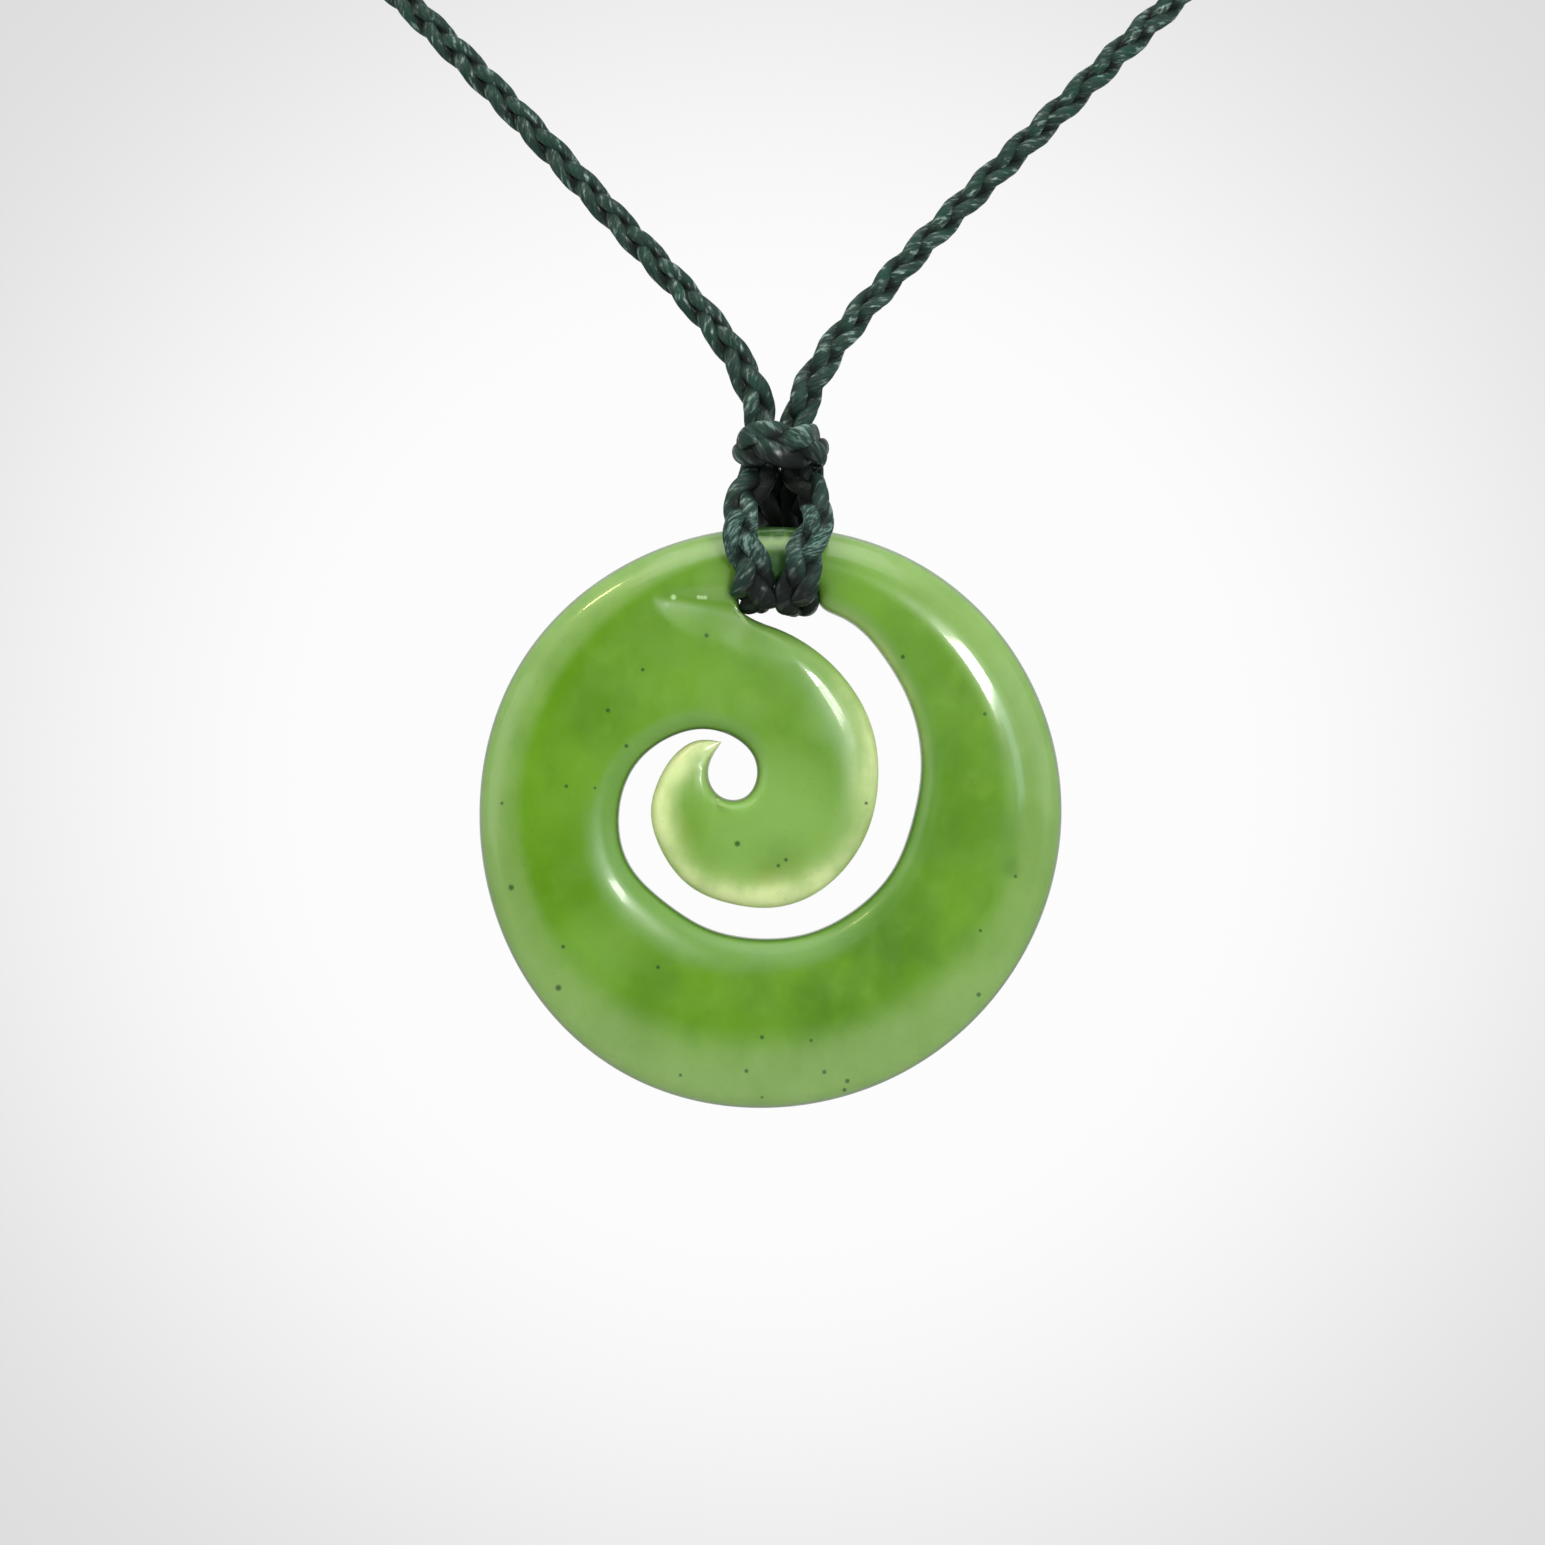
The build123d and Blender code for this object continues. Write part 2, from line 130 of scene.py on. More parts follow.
# Camera, straight in front of the stone's middle plane
PHOTO_PIXELS = 1545
PIXELS_PER_METRE = 13245
STONE_PIXEL = (769.6, 816.2)
CAMERA_DISTANCE = 0.6

FRONT = Vector((0, -1, 0))
BACK = Vector((0, 1, 0))
DOWN = Vector((0, 0, -1))
LEFT = Vector((-1, 0, 0))
RIGHT = Vector((1, 0, 0))

# The rim, each 30 degrees from the right-hand side and over the top. Columns: radius (share of
# the stone's radius), bevel (share of the bevel's width), softness of the band (share of the
# rim's softness).
RIM = (
    (1.001, 1.00, 0.45),
    (1.008, 0.92, 0.5),
    (1.006, 0.75, 0.35),
    (0.992, 0.56, 0.3),
    (0.995, 0.79, 0.3),
    (1.003, 0.94, 0.4),
    (0.995, 0.96, 0.35),
    (1.004, 1.10, 0.6),
    (1.014, 1.38, 1.1),
    (1.000, 1.56, 1.1),
    (0.991, 1.50, 1.1),
    (0.991, 1.24, 0.8),
)

# Ring side of the slot from its start, over the top, down the right and round to the eye, then
# to the arm's point. Columns: across, up (shares of the stone's radius), edge (share of the
# softened edge's width), paleness where the stone lets light through.
RING_WALL = (
    (-0.100, 0.702, 0.0, 0.0),
    (-0.105, 0.738, 0.5, 0.0),
    (-0.100, 0.775, 0.8, 0.0),
    (-0.070, 0.792, 1.0, 0.0),
    (0.020, 0.786, 1.0, 0.0),
    (0.110, 0.794, 1.0, 0.0),
    (0.155, 0.779, 1.0, 0.0),
    (0.169, 0.733, 1.0, 0.2),
    (0.242, 0.684, 1.0, 0.45),
    (0.386, 0.554, 1.0, 0.5),
    (0.477, 0.395, 1.0, 0.4),
    (0.519, 0.148, 1.1, 0.2),
    (0.490, -0.016, 1.2, 0.0),
    (0.425, -0.181, 1.3, 0.0),
    (0.290, -0.323, 1.5, 0.0),
    (0.125, -0.404, 1.7, 0.0),
    (-0.040, -0.420, 1.9, 0.0),
    (-0.205, -0.388, 2.2, 0.0),
    (-0.359, -0.295, 2.4, 0.0),
    (-0.488, -0.154, 2.0, 0.0),
    (-0.517, 0.011, 1.5, 0.0),
    (-0.460, 0.176, 1.2, 0.0),
    (-0.340, 0.272, 1.1, 0.0),
    (-0.225, 0.299, 1.1, 0.0),
    (-0.125, 0.272, 1.0, 0.0),
    (-0.058, 0.210, 1.0, 0.0),
    (-0.043, 0.145, 0.9, 0.0),
    (-0.085, 0.066, 0.8, 0.0),
    (-0.167, 0.067, 0.6, 0.15),
    (-0.211, 0.148, 0.4, 0.5),
    (-0.192, 0.213, 0.2, 0.8),
    (-0.164, 0.255, 0.0, 1.0),
)

# Arm side of the slot, back from the arm's point to the slot's start. The same columns.
ARM_WALL = (
    (-0.164, 0.255, 0.0, 1.0),
    (-0.246, 0.260, 0.3, 1.0),
    (-0.328, 0.208, 0.6, 1.0),
    (-0.382, 0.120, 0.9, 1.1),
    (-0.406, 0.030, 1.0, 1.0),
    (-0.369, -0.120, 1.1, 0.85),
    (-0.265, -0.245, 1.2, 0.75),
    (-0.120, -0.302, 1.3, 1.0),
    (0.005, -0.313, 1.4, 1.1),
    (0.125, -0.282, 1.6, 1.0),
    (0.242, -0.196, 1.8, 0.7),
    (0.340, -0.040, 2.0, 0.55),
    (0.372, 0.124, 2.2, 0.8),
    (0.355, 0.289, 2.3, 0.72),
    (0.275, 0.450, 2.2, 0.45),
    (0.142, 0.580, 1.3, 0.2),
    (0.020, 0.645, 0.7, 0.1),
    (-0.060, 0.677, 0.4, 0.05),
    (-0.100, 0.702, 0.0, 0.0),
)

# The crease's lowest line, from its left end past the slot's start and on along the arm's wall.
# Columns: across, up (shares of the stone's radius), depth (share of the crease's depth).
CREASE_ROUTE = (
    (-0.404, 0.752, 0.0),
    (-0.330, 0.742, 0.4),
    (-0.220, 0.726, 0.8),
    (-0.100, 0.702, 1.0),
    (-0.060, 0.677, 1.0),
    (0.020, 0.645, 0.8),
    (0.142, 0.580, 0.4),
    (0.275, 0.450, 0.0),
)

# The arm's middle line from its point. Columns: across, up, half width of what belongs to the
# arm (shares of the stone's radius).
TIP_ROUTE = (
    (-0.164, 0.255, 0.035),
    (-0.225, 0.210, 0.085),
    (-0.285, 0.130, 0.115),
    (-0.305, 0.030, 0.135),
    (-0.270, -0.070, 0.160),
    (-0.180, -0.140, 0.200),
    (-0.050, -0.170, 0.220),
)

# The milky band along the crease and on along the arm's edge, with a painted soft sheen. Columns:
# across, up, half width (shares of the stone's radius), strength.
MILKY_SHEEN_ROUTE = (
    (-0.400, 0.728, 0.020, 0.0),
    (-0.340, 0.718, 0.018, 0.25),
    (-0.240, 0.690, 0.028, 0.3),
    (-0.120, 0.648, 0.038, 0.2),
    (0.000, 0.580, 0.040, 0.35),
    (0.110, 0.480, 0.040, 0.52),
    (0.190, 0.360, 0.046, 0.62),
    (0.240, 0.240, 0.040, 0.5),
    (0.275, 0.140, 0.026, 0.0),
)

# A painted highlight along the thin ridge over the crease, and the milky band with painted sheen
# round the slot's left and bottom. The same columns.
CREASE_HIGHLIGHT_ROUTE = (
    (-0.359, 0.728, 0.010, 0.0),
    (-0.320, 0.722, 0.010, 0.5),
    (-0.250, 0.708, 0.011, 0.5),
    (-0.187, 0.694, 0.012, 0.4),
    (-0.084, 0.666, 0.013, 0.5),
    (-0.016, 0.640, 0.015, 0.0),
)
SLOT_MILKY_SHEEN_ROUTE = (
    (-0.600, 0.080, 0.030, 0.0),
    (-0.600, -0.060, 0.035, 0.3),
    (-0.560, -0.190, 0.040, 0.4),
    (-0.470, -0.310, 0.045, 0.4),
    (-0.330, -0.400, 0.038, 0.2),
    (-0.160, -0.462, 0.030, 0.2),
    (0.000, -0.474, 0.028, 0.4),
    (0.140, -0.462, 0.028, 0.4),
    (0.270, -0.405, 0.026, 0.3),
    (0.370, -0.320, 0.026, 0.0),
)

# Half of the neck loop from the join to the top of the knot. Columns: left and right (shares of
# the half width), back (share of the depth), up (share of the rise), the side that the plait's
# broad face turns to, spread of the plait, size of the plait.
LOOP = (
    (0.228, 0.228, 0.992, 0.993, BACK, 1.0, 1.0),
    (0.423, 0.423, 0.964, 0.976, BACK, 1.0, 1.0),
    (0.715, 0.715, 0.868, 0.929, BACK, 1.0, 1.0),
    (0.927, 0.927, 0.713, 0.853, None, 1.0, 1.0),
    (1.000, 1.000, 0.527, 0.751, None, 1.0, 1.0),
    (0.927, 0.940, 0.341, 0.619, None, 1.0, 1.0),
    (0.715, 0.735, 0.209, 0.482, FRONT, 1.0, 1.0),
    (0.475, 0.492, 0.109, 0.339, FRONT, 1.0, 1.0),
    (0.324, 0.333, 0.072, 0.241, FRONT, 1.0, 1.0),
    (0.183, 0.180, 0.039, 0.145, FRONT, 1.0, 1.0),
    (0.113, 0.110, 0.022, 0.097, FRONT, 1.0, 1.0),
    (0.056, 0.052, 0.008, 0.050, FRONT, 1.1, 1.0),
    (0.037, 0.031, 0.002, 0.026, FRONT, 1.2, 1.0),
)

# The hitch from the left of the knot, through the slot twice, to the right of the knot.
# Columns: across (share of the stone's radius), out (share of the leg's offset, back is plus),
# up (share of the stone's radius), the side that the broad face turns to, spread, size.
HITCH = (
    (-0.026, 0.00, 1.345, FRONT, 1.25, 0.95),
    (-0.020, -0.03, 1.275, FRONT, 1.35, 0.86),
    (-0.020, -0.13, 1.205, FRONT, 1.4, 0.86),
    (-0.045, -0.36, 1.150, FRONT, 1.4, 0.92),
    (-0.082, -0.62, 1.100, FRONT, 1.25, 1.0),
    (-0.099, -0.86, 1.040, FRONT, 1.25, 1.0),
    (-0.101, -1.01, 0.970, FRONT, 1.25, 1.03),
    (-0.077, -1.02, 0.900, FRONT, 1.35, 1.06),
    (-0.059, -1.02, 0.827, FRONT, 1.35, 1.06),
    (-0.050, -0.86, 0.763, FRONT + DOWN, 1.6, 1.12),
    (-0.047, -0.49, 0.734, DOWN, 1.45, 1.1),
    (-0.047, 0.00, 0.734, DOWN, 1.0, 1.0),
    (-0.047, 0.49, 0.734, DOWN, 1.0, 1.0),
    (-0.041, 0.86, 0.763, BACK + DOWN, 1.1, 1.0),
    (-0.030, 1.00, 0.827, BACK, 1.15, 1.0),
    (-0.020, 1.00, 0.910, BACK, 1.15, 1.0),
    (-0.016, 0.98, 0.982, BACK, 1.25, 1.05),
    (-0.018, 0.80, 1.073, BACK, 1.35, 1.0),
    (-0.036, 0.56, 1.155, BACK, 1.8, 0.96),
    (-0.070, 0.42, 1.215, BACK + LEFT, 1.4, 0.9),
    (-0.097, 0.08, 1.262, LEFT, 1.4, 0.84),
    (-0.078, -0.33, 1.275, FRONT + LEFT, 1.7, 0.9),
    (-0.025, -0.55, 1.272, FRONT, 1.75, 0.96),
    (0.038, -0.58, 1.268, FRONT, 1.75, 0.96),
    (0.101, -0.56, 1.266, FRONT, 1.75, 0.96),
    (0.155, -0.33, 1.266, FRONT + RIGHT, 1.7, 0.9),
    (0.174, 0.08, 1.252, RIGHT, 1.4, 0.84),
    (0.148, 0.42, 1.212, BACK + RIGHT, 1.4, 0.9),
    (0.112, 0.56, 1.155, BACK, 1.7, 0.96),
    (0.094, 0.80, 1.073, BACK, 1.35, 1.0),
    (0.091, 0.98, 0.982, BACK, 1.25, 1.05),
    (0.093, 1.00, 0.910, BACK, 1.15, 1.0),
    (0.099, 1.00, 0.827, BACK, 1.15, 1.0),
    (0.099, 0.86, 0.755, BACK + DOWN, 1.1, 1.0),
    (0.098, 0.49, 0.724, DOWN, 1.0, 1.0),
    (0.098, 0.00, 0.724, DOWN, 1.0, 1.0),
    (0.094, -0.49, 0.724, DOWN, 1.4, 1.1),
    (0.092, -0.86, 0.755, FRONT + DOWN, 1.45, 1.12),
    (0.105, -1.02, 0.827, FRONT, 1.3, 1.06),
    (0.124, -1.02, 0.900, FRONT, 1.35, 1.06),
    (0.150, -1.01, 0.970, FRONT, 1.2, 1.03),
    (0.164, -0.84, 1.045, FRONT, 1.2, 1.0),
    (0.144, -0.58, 1.105, FRONT, 1.25, 1.0),
    (0.112, -0.30, 1.155, FRONT, 1.4, 0.92),
    (0.094, -0.05, 1.207, FRONT, 1.4, 0.86),
    (0.090, 0.02, 1.275, FRONT, 1.35, 0.86),
    (0.093, 0.00, 1.345, FRONT, 1.25, 0.95),
)


def spline(knots, rows, at):
    """A natural cubic through rows at their knots. Gives its values and slopes at other places."""
    knots = np.asarray(knots, float)
    rows = np.asarray(rows, float)
    steps = np.diff(knots)
    slopes = np.diff(rows, axis=0) / steps[:, None]
    matrix = np.eye(len(knots))
    right = np.zeros_like(rows)
    for i in range(1, len(knots) - 1):
        matrix[i, i - 1 : i + 2] = steps[i - 1], 2 * (steps[i - 1] + steps[i]), steps[i]
        right[i] = 6 * (slopes[i] - slopes[i - 1])
    bends = np.linalg.solve(matrix, right)
    i = np.clip(np.searchsorted(knots, at, side="right") - 1, 0, len(steps) - 1)
    step = steps[i][:, None]
    share = (at - knots[i])[:, None] / step
    before, after = bends[i], bends[i + 1]
    bulge = (share**3 - share) * after + ((1 - share) ** 3 - (1 - share)) * before
    values = rows[i] * (1 - share) + rows[i + 1] * share + bulge * step**2 / 6
    turn = (3 * share**2 - 1) * after - (3 * (1 - share) ** 2 - 1) * before
    return values, slopes[i] + turn * step / 6


def chord_lengths(points):
    steps = np.linalg.norm(np.diff(points, axis=0), axis=1)
    return np.concatenate([[0.0], np.cumsum(steps)])


def smooth_step(values):
    values = np.clip(values, 0, 1)
    return values * values * (3 - 2 * values)


def fade(distance, border, softness):
    """1 before a border and 0 past it, with a soft change across it."""
    return 1 - smooth_step((distance - border) / softness + 0.5)


def bell(distance, width):
    """1 on a line, and less the further from it."""
    return np.exp(-((distance / width) ** 2))


def ring_faces(rings, around, closed=True):
    """Quads between rings of points, numbered ring by ring."""
    faces = []
    for k in range(rings - 1):
        for j in range(around if closed else around - 1):
            a = k * around + j
            b = k * around + (j + 1) % around
            faces.append((a, b, b + around, a + around))
    return faces


def add_attribute(mesh, name, values):
    """A number or a vector for each vertex, which a material can read."""
    values = np.asarray(values, np.float32)
    kind, field = ("FLOAT", "value") if values.ndim == 1 else ("FLOAT_VECTOR", "vector")
    mesh.attributes.new(name, kind, "POINT").data.foreach_set(field, values.ravel())


def add_object(name, data):
    made = bpy.data.objects.new(name, data)
    bpy.context.scene.collection.objects.link(made)
    return made


def make_piece(name, mesh, material, node):
    """Shows a mesh as the piece that stands for one CAD node."""
    mesh.shade_smooth()
    mesh.materials.append(material)
    piece = add_object(name, mesh)
    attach(piece, "root")
    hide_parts(node)
    return piece


def rim_shape(angles):
    """The stone's radius, its bevel's width and the softness of its band at each angle."""
    rows = np.tile(np.array(RIM), (3, 1))
    knots = (np.arange(len(rows)) - len(RIM)) * 2 * math.pi / len(RIM)
    radius, bevel, softness = spline(knots, rows, angles)[0].T
    return radius * STONE_RADIUS, bevel * RIM_BEVEL, softness * RIM_SOFTNESS


def rounded(before, corner, after, count):
    """Points of the curve that rounds a corner between two lines."""
    points = []
    for t in np.linspace(0, 1, count):
        points.append(before * (1 - t) ** 2 + corner * 2 * t * (1 - t) + after * t**2)
    return points


def rim_profile(widths):
    """Inset and height of each of the rim's rings, from the middle plane up to the face."""
    zero = np.zeros_like(widths)
    rim = np.stack([zero, zero + RIM_DEPTH / 2], 1)
    crest = np.stack([widths, zero + STONE_THICKNESS / 2], 1)
    slope = crest - rim
    slope /= np.linalg.norm(slope, axis=1)[:, None]
    reach = widths[:, None] * CREST_CORNER
    up = np.stack([zero, zero + 1], 1)
    over = np.stack([zero + 1, zero], 1)
    wall_top = rim - up * RIM_CORNER
    bevel_low = rim + slope * RIM_CORNER
    bevel_high = crest - slope * reach
    rings = [wall_top * share for share in RIM_WALL_RINGS]
    rings += rounded(wall_top, rim, bevel_low, RIM_CORNER_RINGS)
    rings += [bevel_low * (1 - share) + bevel_high * share for share in BEVEL_RINGS]
    rings += rounded(bevel_high, crest, crest + over * reach, CREST_RINGS)
    return rings


def rim_rings(count):
    """Across, up and height of the rim's rings, from the middle plane up to the face."""
    angles = np.arange(count) * 2 * math.pi / count
    radius, widths, _ = rim_shape(angles)
    rings = []
    for profile in rim_profile(widths):
        reach = radius - profile[:, 0]
        rings.append(np.stack([reach * np.cos(angles), reach * np.sin(angles), profile[:, 1]], 1))
    return np.array(rings)


def wall_ring(rows, share):
    """One wall of the slot, pushed into the stone by a share of its softened edge."""
    rows = np.array(rows)
    points = rows[:, :2] * STONE_RADIUS
    ends = np.concatenate([points[:1], points, points[-1:]])
    along = ends[2:] - ends[:-2]
    along /= np.linalg.norm(along, axis=1)[:, None]
    outward = np.stack([-along[:, 1], along[:, 0]], 1)
    moved = points + outward * rows[:, 2:3] * share * SLOT_EDGE_WIDTH
    knots = chord_lengths(points)
    places = np.linspace(0, knots[-1], round(knots[-1] / SLOT_SPACING), endpoint=False)
    return spline(knots, moved, places)[0]


def slot_rings():
    """Across, up and height of the slot's rings, from the middle plane up to the face."""
    wall_height = STONE_THICKNESS / 2 - SLOT_EDGE_DEPTH
    levels = [(0.0, wall_height * share) for share in SLOT_WALL_RINGS]
    for turn in np.linspace(math.pi / 2, 0, SLOT_EDGE_RINGS):
        height = STONE_THICKNESS / 2 - (1 - math.cos(turn)) * SLOT_EDGE_DEPTH
        levels.append((1 - math.sin(turn), height))
    rings = []
    for share, height in levels:
        ring = np.concatenate([wall_ring(rows, share) for rows in (RING_WALL, ARM_WALL)])
        rings.append(np.column_stack([ring, np.full(len(ring), height)]))
    return np.array(rings)


def inside(points, outline):
    """Which points lie inside a closed outline."""
    x, y = points[:, 0][:, None], points[:, 1][:, None]
    ax, ay = outline.T
    bx, by = np.roll(outline, -1, axis=0).T
    crosses = (ay > y) != (by > y)
    rise = np.where(by == ay, 1, by - ay)
    return (np.sum(crosses & (x < (bx - ax) * (y - ay) / rise + ax), axis=1) % 2) == 1


def nearest(points, targets):
    """The number of the nearest target to each point, and its distance."""
    tree = KDTree(len(targets))
    for i, target in enumerate(targets):
        tree.insert((*target, 0), i)
    tree.balance()
    found = [tree.find((*point, 0)) for point in points]
    return np.array([f[1] for f in found]), np.array([f[2] for f in found])


def along_route(points, rows):
    """For each point the nearest place on a route: its row, distance, side and length from the
    route's start. The side is 1 to the left of the route's direction and -1 to its right."""
    rows = np.array(rows)
    knots = chord_lengths(rows[:, :2])
    at = np.linspace(0, knots[-1], round(knots[-1] * STONE_RADIUS / ROUTE_SPACING))
    values, slopes = spline(knots, rows, at)
    found, distance = nearest(points, values[:, :2] * STONE_RADIUS)
    away = points - values[found, :2] * STONE_RADIUS
    side = np.sign(slopes[found, 0] * away[:, 1] - slopes[found, 1] * away[:, 0])
    return values[found], distance, side, at[found] * STONE_RADIUS


def crease_depth(points):
    """How deep the crease is under the face at each point."""
    rows, distance, side, _ = along_route(points, CREASE_ROUTE)
    share = np.clip(rows[:, 2], CREASE_LEAST, 1)
    width = np.where(side > 0, CREASE_UPPER, CREASE_LOWER) * np.sqrt(share)
    return CREASE_DEPTH * share * smooth_step(1 - distance / width)


def tip_taper(points):
    """The share of its thickness that the stone keeps at each point."""
    rows, distance, _, length = along_route(points, TIP_ROUTE)
    taper = TIP_THICKNESS + (1 - TIP_THICKNESS) * np.minimum(length / TIP_TAPER, 1)
    return np.where(distance < rows[:, 2] * STONE_RADIUS, taper, 1.0)


def face_points(rim, slot):
    """A grid of points over the face, finer round the crease, clear of the two outlines."""
    reach = np.arange(-STONE_RADIUS, STONE_RADIUS, FACE_SPACING)
    coarse = np.array([(x, z) for x in reach for z in reach])
    low_x, low_z, high_x, high_z = np.array(FINE_BOX) * STONE_RADIUS
    fine_x = np.arange(low_x, high_x, FINE_SPACING)
    fine_z = np.arange(low_z, high_z, FINE_SPACING)
    fine = np.array([(x, z) for x in fine_x for z in fine_z])
    in_fine = np.all((coarse > fine[0]) & (coarse < fine[-1]), axis=1)
    points = np.concatenate([coarse[~in_fine], fine])
    points = points[inside(points, rim) & ~inside(points, slot)]
    clear = nearest(points, np.concatenate([rim, slot]))[1]
    return points[clear > OUTLINE_CLEARANCE]


def face_triangles(rim, slot):
    """Triangles over the flat of the face, between the rim's and the slot's last rings."""
    grid = face_points(rim, slot)
    points = np.concatenate([rim, slot, grid])
    edges = []
    for first, count in ((0, len(rim)), (len(rim), len(slot))):
        edges += [(first + i, first + (i + 1) % count) for i in range(count)]
    scaled = [Vector(p) / STONE_RADIUS for p in points]
    _, _, faces, origin, _, _ = delaunay_2d_cdt(scaled, edges, [], WHOLE_HULL, SAME_POINT)
    source = np.array([o[0] for o in origin])
    triangles = source[np.array(faces)]
    centres = points[triangles].mean(axis=1)
    return grid, triangles[inside(centres, rim) & ~inside(centres, slot)]


def rim_marks(flat):
    """The rim's band of painted sheen, its dark line and the painted highlight line on it."""
    angles = np.arctan2(flat[:, 1], flat[:, 0]) % (2 * math.pi)
    radius, bevel, softness = rim_shape(angles)
    distance = radius - np.linalg.norm(flat, axis=1)
    crisp = np.clip(1 - softness / RIM_SOFTNESS, 0, 1)
    band = fade(distance, bevel, softness)
    band *= 1 - RIM_FALL * np.clip(distance / bevel, 0, 1)
    band *= 1 - CRISP_FALL * crisp * (1 - smooth_step(distance / RIM_CORNER))
    # Painted highlight line along the crest of the rim's rounding
    ridge = RIDGE_STRENGTH * crisp * bell(distance - RIM_CORNER, RIDGE_WIDTH)
    return band, bell(distance, OUTLINE_WIDTH), ridge


def wall_marks(flat, rows):
    """The softened band, dark line and paleness along one wall of the slot, and how far it is."""
    found, distance, _, _ = along_route(flat, rows)
    edge, pale = np.maximum(found[:, 2:], 0).T
    band = fade(distance, edge * SLOT_EDGE_WIDTH, SLOT_SOFTNESS)
    line = bell(distance, OUTLINE_WIDTH) * np.maximum(1 - pale, 0)
    return band, line, pale, distance


def slot_marks(flat):
    """The slot's softened band, where sheen is painted, its dark line and the paleness beside it.
    The arm's paleness ends half-way to the ring's wall, but not near its point, where that wall's
    rows are pale too."""
    ring_band, ring_line, ring_pale, to_ring = wall_marks(flat, RING_WALL)
    arm_band, arm_line, arm_pale, to_arm = wall_marks(flat, ARM_WALL)
    on_arm = np.maximum(fade(to_arm, to_ring, SLOT_SOFTNESS), np.minimum(ring_pale * 2, 1))
    arm_pale = arm_pale * bell(to_arm, PALE_REACH) * on_arm
    pale = np.maximum(ring_pale * bell(to_ring, RING_PALE_REACH), arm_pale)
    line = np.maximum(ring_line, arm_line * ARM_OUTLINE)
    return np.maximum(ring_band, arm_band), line, pale


def stone_marks(points):
    """What the material needs at each point, as shares: bands, outline, paleness, and milky sheen
    with painted highlights.
    """
    flat = points[:, :2]
    rim_band, rim_line, ridge = rim_marks(flat)
    slot_band, slot_line, pale = slot_marks(flat)
    milky_sheen = np.zeros(len(flat))
    for route in (MILKY_SHEEN_ROUTE, CREASE_HIGHLIGHT_ROUTE, SLOT_MILKY_SHEEN_ROUTE):
        rows, distance, _, _ = along_route(flat, route)
        milky_sheen = np.maximum(milky_sheen, rows[:, 3] * bell(distance, rows[:, 2] * STONE_RADIUS))
    return {
        "rim_band": rim_band,
        "slot_band": slot_band,
        "outline": np.maximum(rim_line, slot_line),
        # The paleness where light comes through, and the painted highlight line by the rim
        "pale": np.maximum(pale, ridge),
        "milky_sheen": milky_sheen,
    }


def half_stone():
    """The stone's front half round its middle: across, up and height, with its faces."""
    rim = rim_rings(RIM_POINTS)
    slot = slot_rings()
    grid, triangles = face_triangles(rim[-1][:, :2], slot[-1][:, :2])
    grid = np.column_stack([grid, np.full(len(grid), STONE_THICKNESS / 2)])
    points = np.concatenate([rim.reshape(-1, 3), slot.reshape(-1, 3), grid])
    around_rim = rim.shape[1]
    around_slot = slot.shape[1]
    first_slot = len(rim) * around_rim
    first_grid = first_slot + len(slot) * around_slot
    faces = ring_faces(len(rim), around_rim)
    for quad in ring_faces(len(slot), around_slot):
        faces.append(tuple(first_slot + i for i in reversed(quad)))
    numbers = np.concatenate([
        np.arange(first_slot - around_rim, first_slot),
        np.arange(first_grid - around_slot, first_grid),
        np.arange(first_grid, first_grid + len(grid)),
    ])
    faces += numbers[triangles].tolist()
    return points, faces


def stone_mesh():
    """Both halves of the stone, with the crease, the thinned arm and the material's marks."""
    points, faces = half_stone()
    flat = points[:, :2]
    scale = (1 - crease_depth(flat) / (STONE_THICKNESS / 2)) * tip_taper(flat)
    back = np.column_stack([points[:, 0], points[:, 2] * scale, points[:, 1]])
    whole = np.concatenate([back * (1, -1, 1), back]) + np.array(STONE_PLACE)
    faces += [tuple(len(points) + i for i in reversed(face)) for face in faces]
    mesh = bpy.data.meshes.new("koru_stone_carved")
    mesh.from_pydata(whole.tolist(), [], faces)
    for name, values in stone_marks(points).items():
        add_attribute(mesh, name, np.tile(values, 2))
    weld(mesh)
    return mesh


def weld(mesh):
    """Joins the points of a mesh that coincide, and turns its faces outward."""
    shaped = bmesh.new()
    shaped.from_mesh(mesh)
    bmesh.ops.remove_doubles(shaped, verts=shaped.verts, dist=WELD_DISTANCE)
    bmesh.ops.recalc_face_normals(shaped, faces=shaped.faces)
    shaped.to_mesh(mesh)
    shaped.free()


def cord_rows():
    """All rows of the plait, left end to right end: place, facing, spread and size."""
    halves = []
    for side in (-1, 1):
        reach = JOIN_LENGTH / 2 - SOCKET_DEPTH
        rows = [(Vector((side * reach, LOOP_DEPTH, LOOP_RISE)), BACK, 1.0, 1.0)]
        for left, right, back, up, facing, spread, size in LOOP:
            across = side * (left if side < 0 else right) * LOOP_HALF_WIDTH
            place = Vector((across, back * LOOP_DEPTH, up * LOOP_RISE))
            rows.append((place, facing or Vector((side, 0, 0)), spread, size))
        knot = Vector((KNOT_SIDE, 0, KNOT_TOP))
        halves.append([(knot + place, *rest) for place, *rest in rows])
    hitch = []
    for across, out, up, *rest in HITCH:
        place = Vector((across * STONE_RADIUS, out * LEG_OFFSET, up * STONE_RADIUS))
        hitch.append((place, *rest))
    return halves[0] + hitch + halves[1][::-1]


